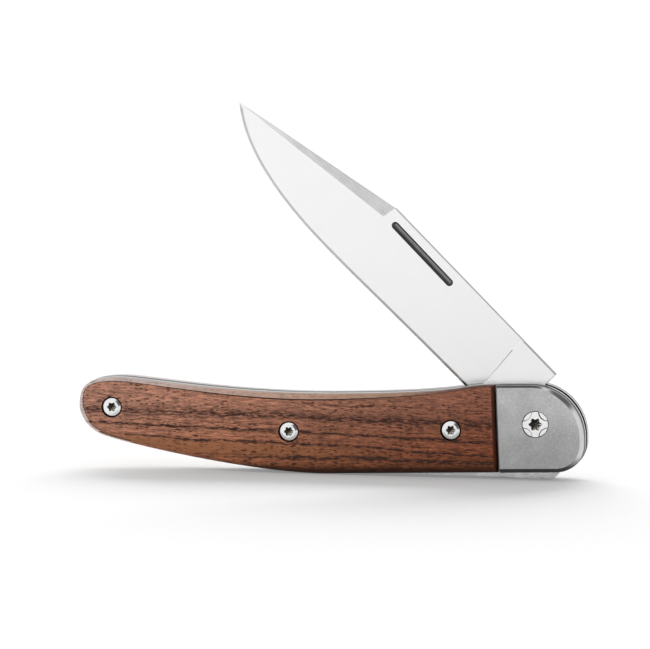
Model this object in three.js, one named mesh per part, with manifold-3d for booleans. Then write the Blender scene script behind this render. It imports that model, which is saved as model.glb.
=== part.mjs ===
// A folding pocket knife with a slip joint: clip-point blade, wooden scales, metal bolsters and liners.
// Millimetres, +Z up. It is half folded, and stands on its handle's belly and its backspring's tip.
// The handle is drawn with the pivot axis at the origin, its butt towards -X and its back towards -Z.
// The front side faces -Y, and the rear side is its mirror image.
import * as THREE from "three";
import { mergeVertices } from "three/addons/utils/BufferGeometryUtils.js";
import Module from "manifold-3d";

const wasm = await Module();
wasm.setup();

// Driving dimensions: angles in degrees, headings counted from +X towards +Z

const handle = {
  length: 104.05,
  noseReach: 9.9, // pivot axis to the front end
  noseRadius: 11,
  toeRadius: 5.8,
  shoulder: 8.05, // pivot axis up to the top edge at the bolster
  back: 9.95, // pivot axis down to the back edge at the bolster
  waist: { fromPivot: 41, z: 6.36 },
  crest: { fromButt: 6.85, z: 9.93, heading: 183 },
  butt: { fromButt: 0, z: 3.9 },
  heel: { fromButt: 3.95, z: -1.6, heading: 333 },
  belly: { fromPivot: 43, z: -10.08 },
};

// How far each curve of the handle and of the blade's edge keeps the heading that it has at its ends
const ease = {
  shoulder: 9,
  waistFront: 29,
  waistRear: 24,
  crestFront: 5,
  crestRear: 4,
  buttTop: 5.5,
  buttFoot: 1,
  heelRear: 3.5,
  heelFront: 4,
  belly: 15,
  ricasso: 30,
  bellyRear: 12,
  bellyFront: 7,
  tip: 12,
};

// The line where the wood meets the bolster, and the slit left between them
const joint = { fromPivot: 7.9, lean: 1.37, slit: 0.25 };

const liner = { thickness: 1.2 };
const side = { thickness: 3 }; // scales and bolsters
const rim = { wood: 0.12, metal: 0.1 }; // how far the liners stand out past the wood and the bolsters
const woodBevel = { shoulder: 0.22, waist: 1.2, butt: 0.62, bottom: 1.4, joint: 0.8, widestAt: 50 };
const metalBevel = { top: 0.5, nose: 1, joint: 0.12 };

const blade = {
  thickness: 2.5,
  spine: 9.5, // pivot axis to the spine
  ricassoEdge: 5.5, // pivot axis to the unsharpened edge beside the tang
  heelReach: 4.4, // where the spine begins, against the spring's end
  reach: 89.4, // pivot axis to the tip
  tip: { fromTip: 0, rise: 1.53, heading: 40 },
  clipLength: 38.1,
  belly: { fromTip: 33.4, rise: -6.43 },
  edgeBevel: 0.55, // width of the sharpened band
  edgeHalf: 0.02,
  bevelHalf: 0.27, // half the thickness where the sharpened band begins
  pointLength: 8, // the last stretch, where the thickness runs out to the point
  pointEnd: 0.4, // past the tip, where that taper would end
};
const swedge = {
  length: 37.35,
  rise: 6.65,
  spineHalf: 0.4,
  spineShare: 0.7, // most that the spine may be of the thickness at the swedge line
  endLength: 0.3,
  endFoot: 0.05,
};
const plunge = { fromPivot: 13.4, lean: 5.37, length: 0.25, overlap: 0.5 };
const pull = {
  front: { fromTip: 40.45, rise: 7.06 },
  length: 15.95, // between the centres of its round ends
  lean: 0.6,
  width: 1.65,
  floorWidth: 0.6,
  floorShift: 0.2, // the floor lies nearer the spine, so the wall that the nail pulls on is steep
  depth: 0.45,
};

// The tang is square, so the spring holds the blade open, half open and closed
const tang = {
  half: 6.2, // pivot axis to each flat
  closedLie: 2.5, // how far short of the handle's line the closed blade stops
  cornerLift: 1.46, // how far a corner pushes the spring beyond a flat
  kickReach: 5,
  kickLength: 2.2,
};
const restAngle = 133.5; // the blade's heading in the handle, half folded

const spring = {
  tail: 3.3,
  middle: 3.9,
  limb: 3,
  limbFromPivot: 29,
  padLength: 5.2, // behind the pivot axis
  padRamp: 1.4,
  tangGap: 0.3,
  heelGap: 0.3,
  sideGap: 0.05,
  tipBevel: 1,
};

const pin = { radius: 1, middle: { fromPivot: 42, z: -8 }, tail: { fromButt: 10.15, z: -2.03 } };
const barrel = { radius: 2.2, boreDepth: 5.9, endGap: 0.3 };
const washer = { thickness: 0.2, radius: 4.8, play: 0.05 };
const pivotScrew = {
  headRadius: 2.6,
  headHeight: 1.3,
  rimBevel: 0.15,
  ring: 0.12, // gap round the head
  sunk: 0.06,
  shank: 1.3,
  shankLength: 6,
  socket: { radius: 1.275, depth: 0.9 },
  scallop: { inner: 1.69, halfAngle: 30, depth: 0.35 },
};
const scaleScrew = {
  headRadius: 1.85,
  headHeight: 1,
  crownRadius: 1.3,
  crownHeight: 0.18,
  ring: 0.3,
  sunk: 0.25,
  shank: 1,
  endGap: 0.1,
  socket: { radius: 0.95, depth: 0.7 },
  front: { fromPivot: 17.3, z: -1.12 },
  middle: { fromPivot: 50.6, z: -1.25 },
  rear: { fromButt: 6.95, z: 3.93 },
};
const bolsterScrew = {
  headRadius: 1.5,
  shank: 0.8,
  grip: 1.6,
  endGap: 0.2,
  sunk: 0.05,
  socket: { radius: 0.6, depth: 0.5 },
  upper: { reach: 7.15, heading: 137 },
  lower: { reach: 8.2, heading: -45 },
};
const socketShape = { lobes: 6, wave: 0.145, steps: 4 };
const fit = 0.04; // radial clearance of a pin or a thread in its hole
const turnFit = 0.05; // radial clearance round the barrel
const curveSteps = 10;

// Round pieces wider than this across the radius get more steps than shanks and pins
const wideRound = { radius: 1.7, steps: 32 };
const slimSteps = 16;

const { degToRad, radToDeg, lerp, mapLinear, smoothstep } = THREE.MathUtils;

// Depths from the middle plane out to each face of the stack
const bladeHalf = blade.thickness / 2;
const slotHalf = bladeHalf + washer.play + washer.thickness;
const linerFace = slotHalf + liner.thickness;
const sideFace = linerFace + side.thickness;

const roundSteps = (radius) => (radius > wideRound.radius ? wideRound.steps : slimSteps);
const headingVector = (heading) =>
  new THREE.Vector2(Math.cos(degToRad(heading)), Math.sin(degToRad(heading)));

// Outlines, drawn counterclockwise in the XZ plane

// A curve from the path's end to a point, with the headings that it leaves and arrives with
function sweep(path, leave, leaveEase, to, arrive, arriveEase) {
  const first = path.currentPoint.clone().addScaledVector(headingVector(leave), leaveEase);
  const second = to.clone().addScaledVector(headingVector(arrive), -arriveEase);
  path.bezierCurveTo(first.x, first.y, second.x, second.y, to.x, to.y);
}

const buttX = handle.noseReach - handle.length;

// A place in the handle, counted from the butt or back from the pivot axis
const placeOf = ({ fromButt, fromPivot, z }) =>
  fromButt === undefined ? { x: -fromPivot, z } : { x: buttX + fromButt, z };
const pointOf = (place) => new THREE.Vector2(placeOf(place).x, place.z);

const joinX = -joint.fromPivot;
const crestX = placeOf(handle.crest).x;
const heelX = placeOf(handle.heel).x;
const bellyX = placeOf(handle.belly).x;
const toeX = handle.noseReach - handle.toeRadius;
const middlePin = placeOf(pin.middle);
const tailPin = placeOf(pin.tail);
const scaleScrewPlaces = [scaleScrew.front, scaleScrew.middle, scaleScrew.rear].map(placeOf);
const bolsterScrewPlaces = [bolsterScrew.upper, bolsterScrew.lower].map(({ reach, heading }) => {
  const { x, y } = headingVector(heading).multiplyScalar(reach);
  return { x, z: y };
});

const backAt = (x) => mapLinear(x, bellyX, toeX, handle.belly.z, -handle.back);
const jointAt = (z, shift) => new THREE.Vector2(joinX + shift - z * Math.tan(degToRad(joint.lean)), z);

// From the heel of the butt to the belly
function traceBelly(path) {
  sweep(path, handle.heel.heading, ease.heelFront, pointOf(handle.belly), 0, ease.belly);
}

// From the top of the joint, over the waist and round the butt, to the foot of the joint
function traceGrip(path, shift) {
  const { waist, crest, butt, heel } = handle;
  sweep(path, 180, ease.shoulder, pointOf(waist), 180, ease.waistFront);
  sweep(path, 180, ease.waistRear, pointOf(crest), crest.heading, ease.crestFront);
  sweep(path, crest.heading, ease.crestRear, pointOf(butt), 270, ease.buttTop);
  sweep(path, 270, ease.buttFoot, pointOf(heel), heel.heading, ease.heelRear);
  traceBelly(path);
  const foot = jointAt(backAt(joinX), shift);
  path.lineTo(foot.x, foot.y);
}

// From the foot of the joint, round the nose, to the top of the joint
function traceNose(path, shift) {
  const { noseReach, noseRadius, toeRadius, back, shoulder } = handle;
  path.lineTo(toeX, -back);
  path.absarc(toeX, toeRadius - back, toeRadius, -Math.PI / 2, 0);
  path.absarc(noseReach - noseRadius, shoulder - noseRadius, noseRadius, 0, Math.PI / 2);
  const top = jointAt(shoulder, shift);
  path.lineTo(top.x, top.y);
}

// The path's points, without those that repeat the one before
function pointsOf(path) {
  const points = path.getPoints(curveSteps);
  return points.filter((point, i) => point.distanceTo(points.at(i - 1)) > 1e-6);
}

function linerOutline() {
  const top = jointAt(handle.shoulder, 0);
  const path = new THREE.Path().moveTo(top.x, top.y);
  traceGrip(path, 0);
  traceNose(path, 0);
  return pointsOf(path);
}

function gripOutline() {
  const shift = -joint.slit / 2;
  const top = jointAt(handle.shoulder, shift);
  const path = new THREE.Path().moveTo(top.x, top.y);
  traceGrip(path, shift);
  path.closePath();
  return pointsOf(path);
}

function noseOutline() {
  const shift = joint.slit / 2;
  const foot = jointAt(backAt(joinX), shift);
  const path = new THREE.Path().moveTo(foot.x, foot.y);
  traceNose(path, shift);
  path.closePath();
  return pointsOf(path);
}

// The outline moved inwards, each edge by its own width
function inset(points, widthOf) {
  const inward = (from, to) => new THREE.Vector2(from.y - to.y, to.x - from.x).normalize();
  return points.map((point, i) => {
    const before = points.at(i - 1);
    const after = points[(i + 1) % points.length];
    const [a, b] = [inward(before, point), inward(point, after)];
    const [widthA, widthB] = [widthOf(before, point, a), widthOf(point, after, b)];
    const turn = a.cross(b);
    if (Math.abs(turn) < 0.4) {
      const share = (widthA + widthB) / 2 / (1 + a.dot(b));
      return point.clone().addScaledVector(a.clone().add(b), share);
    }
    const moveX = (widthA * b.y - widthB * a.y) / turn;
    const moveZ = (widthB * a.x - widthA * b.x) / turn;
    return new THREE.Vector2(point.x + moveX, point.y + moveZ);
  });
}

// Solids

// A closed geometry as a solid, its faces turned outwards
function solidOf(geometry) {
  const bare = geometry.clone();
  bare.deleteAttribute("normal");
  bare.deleteAttribute("uv");
  const merged = mergeVertices(bare, 1e-4);
  const corners = merged.getAttribute("position");
  const kept = [];
  let volume = 0;
  const [a, b, c] = [new THREE.Vector3(), new THREE.Vector3(), new THREE.Vector3()];
  for (let i = 0; i < merged.index.count; i += 3) {
    const [p, q, r] = [merged.index.getX(i), merged.index.getX(i + 1), merged.index.getX(i + 2)];
    if (p === q || q === r || r === p) continue;
    kept.push([p, q, r]);
    a.fromBufferAttribute(corners, p);
    b.fromBufferAttribute(corners, q);
    c.fromBufferAttribute(corners, r);
    volume += a.dot(b.cross(c));
  }
  const triVerts = new Uint32Array(kept.flatMap(([p, q, r]) => (volume < 0 ? [p, r, q] : [p, q, r])));
  return new wasm.Manifold(new wasm.Mesh({ numProp: 3, vertProperties: corners.array, triVerts }));
}

// The triangles over an outline in the XZ plane
const sideCap = (ring) =>
  THREE.ShapeUtils.triangulateShape(
    ring.map((corner) => new THREE.Vector2(corner.x, corner.z)),
    [],
  );

// The triangles over a cross-section whose second half mirrors its first
function sectionCap(ring) {
  const last = ring.length - 1;
  return Array.from({ length: ring.length / 2 - 1 }, (_, i) => [
    [i, i + 1, last - i - 1],
    [i, last - i - 1, last - i],
  ]).flat();
}

// A solid through rings with as many points each, closed by a face over its first and last ring
function loft(rings, capOf = sideCap) {
  const count = rings[0].length;
  const triangles = [];
  for (let start = 0; start < count * (rings.length - 1); start += count) {
    for (let i = 0; i < count; i++) {
      const near = start + i;
      const next = start + ((i + 1) % count);
      triangles.push(near, next, next + count, near, next + count, near + count);
    }
  }
  for (const [ring, start, turned] of [
    [rings[0], 0, true],
    [rings.at(-1), count * (rings.length - 1), false],
  ]) {
    for (const [p, q, r] of capOf(ring)) {
      triangles.push(...(turned ? [p + start, r + start, q + start] : [p + start, q + start, r + start]));
    }
  }
  const geometry = new THREE.BufferGeometry().setFromPoints(rings.flat());
  geometry.setIndex(triangles);
  return solidOf(geometry);
}

const atDepth = (points, depthOf) =>
  points.map((point, i) => new THREE.Vector3(point.x, -depthOf(i), point.y));

// An outline between two depths on the front side
const slab = (points, inner, outer) =>
  loft([atDepth(points, () => inner), atDepth(points, () => outer)]);

// A round bar or hole between two depths
function drum({ x, z }, radius, inner, outer) {
  const geometry = new THREE.CylinderGeometry(radius, radius, outer - inner, roundSteps(radius));
  return solidOf(geometry.translate(x, -(inner + outer) / 2, z));
}

// A turned piece round the Y axis, from pairs of a radius and a depth
const turned = (profile) =>
  solidOf(
    new THREE.LatheGeometry(
      profile.map(([radius, depth]) => new THREE.Vector2(radius, -depth)),
      roundSteps(Math.max(...profile.map(([radius]) => radius))),
    ),
  );

// A socket between two depths, its six lobes worked out from a wave round a circle
function socketCut({ radius }, inner, outer) {
  const { lobes, wave, steps } = socketShape;
  const points = Array.from({ length: lobes * steps }, (_, i) => {
    const angle = (i / (lobes * steps)) * 2 * Math.PI;
    const reach = radius * (1 - wave + wave * Math.cos(lobes * angle));
    return headingVector(radToDeg(angle)).multiplyScalar(reach);
  });
  return slab(points, inner, outer);
}

const subtractAll = (solid, cuts) => cuts.reduce((left, cut) => left.subtract(cut), solid);

function geometryOf(solid) {
  const mesh = solid.getMesh();
  const geometry = new THREE.BufferGeometry();
  geometry.setAttribute("position", new THREE.BufferAttribute(mesh.vertProperties, 3));
  geometry.setIndex(new THREE.BufferAttribute(mesh.triVerts, 1));
  geometry.computeVertexNormals();
  return geometry;
}

// The same geometry on the rear side
function mirrored(geometry) {
  const copy = geometry.clone().scale(1, -1, 1);
  const { array } = copy.index;
  for (let i = 0; i < array.length; i += 3) [array[i], array[i + 1]] = [array[i + 1], array[i]];
  copy.computeVertexNormals();
  return copy;
}

// Liners, bolsters and scales

const origin = { x: 0, z: 0 };
const past = 1; // how far a cut runs past the face that it opens
const coneHeight = bolsterScrew.headRadius - bolsterScrew.shank;

// The countersink of a bolster screw, which opens towards the blade
const countersink = ({ x, z }) => {
  const mouth = bolsterScrew.headRadius + fit;
  const throat = bolsterScrew.shank + fit;
  const floor = slotHalf + bolsterScrew.sunk + coneHeight;
  const cone = turned([
    [0, slotHalf - past],
    [mouth, slotHalf - past],
    [mouth, slotHalf + bolsterScrew.sunk],
    [throat, floor],
    [0, floor],
  ]);
  return cone.translate([x, 0, z]).add(drum({ x, z }, throat, floor - fit, linerFace + past));
};

function linerSolid() {
  const through = ({ x, z }, radius) => drum({ x, z }, radius + fit, slotHalf - past, linerFace + past);
  return subtractAll(slab(linerOutline(), slotHalf, linerFace), [
    through(origin, barrel.radius),
    through(middlePin, pin.radius),
    through(tailPin, pin.radius),
    ...scaleScrewPlaces.map((place) => through(place, scaleScrew.shank)),
    ...bolsterScrewPlaces.map(countersink),
  ]);
}

const pivotSeat = sideFace - pivotScrew.sunk - pivotScrew.headHeight;

function bolsterSolid() {
  const outer = inset(noseOutline(), () => rim.metal);
  const bevelOf = (from, to, inward) => {
    if (inward.x > 0.9) return metalBevel.joint;
    return lerp(metalBevel.nose, metalBevel.top, smoothstep(-inward.y, 0.8, 1));
  };
  const face = inset(outer, bevelOf);
  const widths = face.map((point, i) => point.distanceTo(outer[i]));
  const rings = [
    atDepth(outer, () => linerFace),
    atDepth(outer, (i) => sideFace - Math.min(widths[i], metalBevel.nose)),
    atDepth(face, () => sideFace),
  ];
  const blind = linerFace + bolsterScrew.grip + bolsterScrew.endGap;
  return subtractAll(loft(rings), [
    drum(origin, barrel.radius + fit, linerFace - past, sideFace),
    drum(origin, pivotScrew.headRadius + pivotScrew.ring, pivotSeat, sideFace + past),
    ...bolsterScrewPlaces.map((place) => drum(place, bolsterScrew.shank + fit, linerFace - past, blind)),
  ]);
}

const scaleSeat = sideFace - scaleScrew.sunk - scaleScrew.headHeight;

function scaleSolid() {
  const { shoulder, waist, butt, bottom } = woodBevel;
  const widestX = -woodBevel.widestAt;
  const outer = inset(gripOutline(), () => rim.wood);
  // The top bevel widens towards the waist, and the bottom one is wide and round
  const topOf = (x) =>
    x > widestX
      ? lerp(shoulder, waist, smoothstep(joinX - x, 0, joinX - widestX))
      : lerp(waist, butt, smoothstep(widestX - x, 0, widestX - crestX));
  const onTop = (inward) => smoothstep(-inward.y, -0.5, 0.5);
  const bevelOf = (from, to, inward) =>
    inward.x < -0.9 ? woodBevel.joint : lerp(bottom, topOf((from.x + to.x) / 2), onTop(inward));
  const face = inset(outer, bevelOf);
  const middle = outer.map((point, i) => {
    const lowSide = point.y < handle.butt.z;
    return point.clone().lerp(face[i], lowSide ? 0.3 : 0.5);
  });
  const depths = face.map((point, i) => Math.min(point.distanceTo(outer[i]), bottom));
  const rings = [
    atDepth(outer, () => linerFace),
    atDepth(outer, (i) => sideFace - depths[i]),
    atDepth(middle, (i) => sideFace - (outer[i].y < handle.butt.z ? 0.3 : 0.5) * depths[i]),
    atDepth(face, () => sideFace),
  ];
  return subtractAll(
    loft(rings),
    scaleScrewPlaces.flatMap((place) => [
      drum(place, scaleScrew.shank + fit, linerFace - past, sideFace),
      drum(place, scaleScrew.headRadius + scaleScrew.ring, scaleSeat, sideFace + past),
    ]),
  );
}

// Pivot, washers, pins and screws

// Four round bites out of the rim of a pivot head
function scallopCuts(face) {
  const { inner, halfAngle, depth } = pivotScrew.scallop;
  const chordHalf = pivotScrew.headRadius * Math.sin(degToRad(halfAngle));
  const sagitta = pivotScrew.headRadius * Math.cos(degToRad(halfAngle)) - inner;
  const radius = (chordHalf ** 2 + sagitta ** 2) / (2 * sagitta);
  return [45, 135, 225, 315].map((heading) => {
    const centre = headingVector(heading).multiplyScalar(inner + radius);
    return drum({ x: centre.x, z: centre.y }, radius, face - depth, face + past);
  });
}

const pivotHeadProfile = () => {
  const face = sideFace - pivotScrew.sunk;
  return [
    [pivotScrew.headRadius, pivotSeat],
    [pivotScrew.headRadius, face - pivotScrew.rimBevel],
    [pivotScrew.headRadius - pivotScrew.rimBevel, face],
    [0, face],
  ];
};

const pivotHeadCuts = () => {
  const face = sideFace - pivotScrew.sunk;
  return [...scallopCuts(face), socketCut(pivotScrew.socket, face - pivotScrew.socket.depth, face + past)];
};

function pivotScrewSolid() {
  const end = pivotSeat - pivotScrew.shankLength;
  const { shank } = pivotScrew;
  const body = turned([[0, end], [shank, end], [shank, pivotSeat], ...pivotHeadProfile()]);
  return subtractAll(body, pivotHeadCuts());
}

// The barrel's head lies on the rear side: it is drawn on the front and mirrored
function pivotBarrelSolid() {
  const end = -(pivotSeat - barrel.endGap);
  const body = turned([[0, end], [barrel.radius, end], [barrel.radius, pivotSeat], ...pivotHeadProfile()]);
  const boreEnd = end + barrel.boreDepth + pivotScrew.headHeight;
  const bore = drum(origin, pivotScrew.shank + fit, end - past, boreEnd);
  return subtractAll(body, [bore, ...pivotHeadCuts()]);
}

const washerSolid = () =>
  drum(origin, washer.radius, bladeHalf + washer.play, slotHalf).subtract(
    drum(origin, barrel.radius + turnFit, 0, slotHalf + past),
  );

const pinSolid = () => drum(origin, pin.radius, -linerFace, linerFace);

function scaleScrewSolid() {
  const { headRadius, crownRadius, crownHeight, shank, endGap, socket } = scaleScrew;
  const crown = sideFace - scaleScrew.sunk;
  const end = slotHalf + endGap;
  const body = turned([
    [0, end],
    [shank, end],
    [shank, scaleSeat],
    [headRadius, scaleSeat],
    [headRadius, crown - crownHeight],
    [crownRadius, crown],
    [0, crown],
  ]);
  return body.subtract(socketCut(socket, crown - socket.depth, crown + past));
}

function bolsterScrewSolid() {
  const { headRadius, shank, grip, sunk, socket } = bolsterScrew;
  const face = slotHalf + sunk;
  const body = turned([
    [0, face],
    [headRadius, face],
    [shank, face + coneHeight],
    [shank, linerFace + grip],
    [0, linerFace + grip],
  ]);
  return body.subtract(socketCut(socket, face - past, face + socket.depth));
}

// Blade, drawn as it lies when open: its tip towards +X and its spine towards -Z.
// A rise is counted from the pivot axis towards the spine.

const plungeAt = (rise) => plunge.fromPivot + rise * Math.tan(degToRad(plunge.lean));

// Half the angle between the flats on both sides of a tang corner gives the corner's radius
const cornerRadius = (halfAngle) => tang.half - tang.cornerLift / (1 / Math.cos(degToRad(halfAngle)) - 1);

function tangOutline() {
  const closedHeading = 90 + tang.closedLie;
  const closedNormal = headingVector(closedHeading);
  const closedAt = (x) => (tang.half - closedNormal.x * x) / closedNormal.y;
  const closedRadius = cornerRadius((180 - closedHeading) / 2);
  const openRadius = cornerRadius(45);
  const closedCentre = tang.half - closedRadius;
  const openCentre = tang.half - openRadius;
  const path = new THREE.Path().moveTo(plungeAt(blade.spine), -blade.spine);
  path.lineTo(plungeAt(-blade.ricassoEdge), blade.ricassoEdge);
  path.lineTo(tang.kickReach + tang.kickLength, blade.ricassoEdge);
  const kick = new THREE.Vector2(tang.kickReach, closedAt(tang.kickReach));
  sweep(path, 180, tang.kickLength / 2, kick, 180 - 45, tang.kickLength / 4);
  path.absarc(
    -closedCentre,
    (closedCentre * (1 + closedNormal.x)) / closedNormal.y,
    closedRadius,
    degToRad(closedHeading),
    Math.PI,
  );
  path.absarc(-openCentre, -openCentre, openRadius, Math.PI, 1.5 * Math.PI);
  path.lineTo(blade.heelReach, -tang.half);
  path.lineTo(blade.heelReach, -blade.spine);
  path.closePath();
  return pointsOf(path);
}

// Reads a path's height at a place along it
function heightAlong(path) {
  const points = path.getPoints(4 * curveSteps);
  return (x) => {
    const i = Math.max(1, points.findIndex((point) => point.x >= x));
    return mapLinear(x, points[i - 1].x, points[i].x, points[i - 1].y, points[i].y);
  };
}

const bladePoint = ({ fromTip, rise }) => new THREE.Vector2(blade.reach - fromTip, rise);
const tip = bladePoint(blade.tip);
const clipX = blade.reach - blade.clipLength;
const swedgeX = blade.reach - swedge.length;

const edgeRise = (() => {
  const path = new THREE.Path().moveTo(0, -blade.ricassoEdge);
  sweep(path, 0, ease.ricasso, bladePoint(blade.belly), 0, ease.bellyRear);
  sweep(path, 0, ease.bellyFront, tip, blade.tip.heading, ease.tip);
  path.lineTo(tip.x + past, tip.y);
  return heightAlong(path);
})();

const backRise = (x) => (x < clipX ? blade.spine : mapLinear(x, clipX, tip.x, blade.spine, tip.y));
const swedgeRise = (x) => (x < swedgeX ? swedge.rise : mapLinear(x, swedgeX, tip.x, swedge.rise, tip.y));

const slopeStep = 0.1;

// One cross-section, from the spine over the swedge line and the bevel line to the edge and back.
// Each point is { x, rise, half }, and the section is closed by its mirror image.
const sectionRing = (points) => [
  ...points.map(({ x, rise, half }) => new THREE.Vector3(x, -half, -rise)),
  ...points.toReversed().map(({ x, rise, half }) => new THREE.Vector3(x, half, -rise)),
];

function groundSection(backX, frontX) {
  const x = frontX;
  const edge = edgeRise(x);
  const slope = (edgeRise(x + slopeStep) - edgeRise(x - slopeStep)) / (2 * slopeStep);
  const swedgeLine = swedgeRise(x);
  const bevelHeight = Math.min(blade.edgeBevel * Math.hypot(1, slope), (swedgeLine - edge) / 2);
  const bevelLine = edge + bevelHeight;
  const thinning = Math.min(1, (tip.x + blade.pointEnd - x) / blade.pointLength);
  const flatHalf = (rise) =>
    thinning * mapLinear(rise, bevelLine, blade.spine, blade.bevelHalf, bladeHalf);
  const inSwedge = backX > clipX;
  const backHalf = inSwedge
    ? Math.min(swedge.spineHalf, swedge.spineShare * flatHalf(swedgeLine))
    : bladeHalf;
  return [
    { x: backX, rise: backRise(backX), half: backHalf },
    { x, rise: swedgeLine, half: flatHalf(swedgeLine) },
    { x, rise: bevelLine, half: flatHalf(bevelLine) },
    { x, rise: edge, half: blade.edgeHalf },
  ];
}

function bladeSolid() {
  const heelRises = [blade.spine, swedge.rise, blade.edgeBevel - blade.ricassoEdge, -blade.ricassoEdge];
  const fullSection = (shift) =>
    heelRises.map((rise) => ({ x: plungeAt(rise) + shift, rise, half: bladeHalf }));
  const firstGround = groundSection(plunge.fromPivot, plunge.fromPivot).map((point) => ({
    ...point,
    x: plungeAt(point.rise) + plunge.length,
  }));
  const sections = [fullSection(-plunge.overlap), fullSection(0), firstGround];
  const bodySteps = 7;
  for (let i = 1; i <= bodySteps; i++) {
    const x = lerp(plungeAt(blade.spine) + plunge.length, clipX, i / bodySteps);
    sections.push(groundSection(x, i < bodySteps ? x : swedgeX));
  }
  const pointSteps = 18;
  const pointX = tip.x - blade.edgeHalf;
  for (let i = 0; i < pointSteps; i++) {
    const share = Math.sin((i / pointSteps) * (Math.PI / 2));
    const backX = lerp(clipX + swedge.endLength, pointX, share);
    sections.push(groundSection(backX, lerp(swedgeX + swedge.endFoot, pointX, share)));
  }
  const point = groundSection(pointX, pointX);
  sections.push(point.map(({ x, rise }) => ({ x, rise, half: blade.edgeHalf })));
  const ground = loft(sections.map(sectionRing), sectionCap);
  const tangSolid = slab(tangOutline(), -bladeHalf, bladeHalf);
  const bore = drum(origin, barrel.radius + turnFit, -bladeHalf - past, bladeHalf + past);
  return tangSolid.add(ground).subtract(bore).subtract(pullCut());
}

// The long pull: a groove with round ends in the front face, narrower at its floor
function pullCut() {
  const { width, floorWidth, floorShift, depth } = pull;
  const lean = degToRad(pull.lean);
  const front = bladePoint(pull.front);
  const rear = front.clone().addScaledVector(headingVector(pull.lean), -pull.length);
  const faceHalf = mapLinear(rear.y, edgeRise(rear.x), blade.spine, blade.bevelHalf, bladeHalf);
  const outline = (radius, shift = 0) => {
    const path = new THREE.Path();
    path.absarc(front.x, -front.y - shift, radius, -Math.PI / 2 - lean, Math.PI / 2 - lean);
    path.absarc(rear.x, -rear.y - shift, radius, Math.PI / 2 - lean, 1.5 * Math.PI - lean);
    return pointsOf(path);
  };
  const rings = [
    atDepth(outline(width / 2), () => bladeHalf + past),
    atDepth(outline(width / 2), () => faceHalf),
    atDepth(outline(floorWidth / 2, floorShift), () => faceHalf - depth),
  ];
  return loft(rings);
}

// Backspring: pinned at its middle and tail, and bent down ahead of the middle pin by the tang's corner

function springPoints() {
  const clampX = middlePin.x + pin.radius;
  const tipX = blade.heelReach - spring.heelGap;
  const padX = -(spring.padLength + spring.padRamp);
  const length = tipX - clampX;
  const padZ = -(tang.half + spring.tangGap);
  const liftShare = (run) => (run ** 2 * (3 * length - run)) / (2 * length ** 3);
  const tipLift = tang.cornerLift / liftShare(-clampX);
  const slope = (run) => (tipLift * (6 * length * run - 3 * run ** 2)) / (2 * length ** 3);
  const neutralZ = -handle.back + spring.limb / 2;
  const bend = (point) => {
    const run = Math.max(0, point.x - clampX);
    return new THREE.Vector2(
      point.x + (point.y - neutralZ) * slope(run),
      point.y - tipLift * liftShare(run),
    );
  };
  const thicknessAt = (x) => {
    const rear = mapLinear(x, heelX, middlePin.x, spring.tail, spring.middle);
    const toLimb = smoothstep(x, clampX, -spring.limbFromPivot);
    const limb = lerp(Math.min(rear, spring.middle), spring.limb, toLimb);
    return lerp(limb, padZ - backAt(x), smoothstep(x, padX, -spring.padLength));
  };
  const path = new THREE.Path().moveTo(heelX, handle.heel.z);
  traceBelly(path);
  const outer = pointsOf(path);
  const steps = 14;
  const frontRun = [
    ...Array.from({ length: steps }, (_, i) => lerp(bellyX, padX, (i + 1) / steps)),
    padX + spring.padRamp / 2,
    -spring.padLength,
    lerp(-spring.padLength, tipX, 0.5),
    tipX,
  ];
  outer.push(...frontRun.map((x) => new THREE.Vector2(x, backAt(x))));
  const inner = outer.map((point, i) => {
    const along = outer[Math.min(i + 1, outer.length - 1)].clone().sub(outer[Math.max(i - 1, 0)]);
    const inward = new THREE.Vector2(-along.y, along.x).normalize();
    return point.clone().addScaledVector(inward, thicknessAt(point.x));
  });
  const toe = outer.pop();
  const bevel = [
    new THREE.Vector2(toe.x - spring.tipBevel, toe.y),
    new THREE.Vector2(toe.x, toe.y + spring.tipBevel),
  ];
  return [...outer, ...bevel, ...inner.reverse()].map(bend);
}

function springSolid() {
  const half = slotHalf - spring.sideGap;
  const points = springPoints();
  return subtractAll(
    slab(points, -half, half),
    [middlePin, tailPin].map((place) => drum(place, pin.radius + fit, -slotHalf, slotHalf)),
  );
}

// Scene

const finish = (color, roughness, metalness) => ({ color, roughness, metalness });
const wood = finish(0x6f4530, 0.6, 0);
const blasted = finish(0x97999b, 0.7, 0.9);
const sheet = finish(0xb4b6b8, 0.45, 0.95);
const satin = finish(0xe3e4e5, 0.3, 0.95);
const polished = finish(0xd2d4d6, 0.2, 1);
const bronze = finish(0xb08a4f, 0.4, 1);

const knife = new THREE.Group();
const standing = new THREE.Group();
knife.add(standing);

function addMesh(parent, name, geometry, look, place = origin) {
  const mesh = new THREE.Mesh(geometry, new THREE.MeshStandardMaterial(look));
  mesh.name = name;
  mesh.position.set(place.x, 0, place.z);
  parent.add(mesh);
  return mesh;
}

// A front piece and its mirror image on the rear side
function addPair(name, geometry, look, place) {
  addMesh(standing, `front_${name}`, geometry, look, place);
  addMesh(standing, `rear_${name}`, mirrored(geometry), look, place);
}

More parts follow.
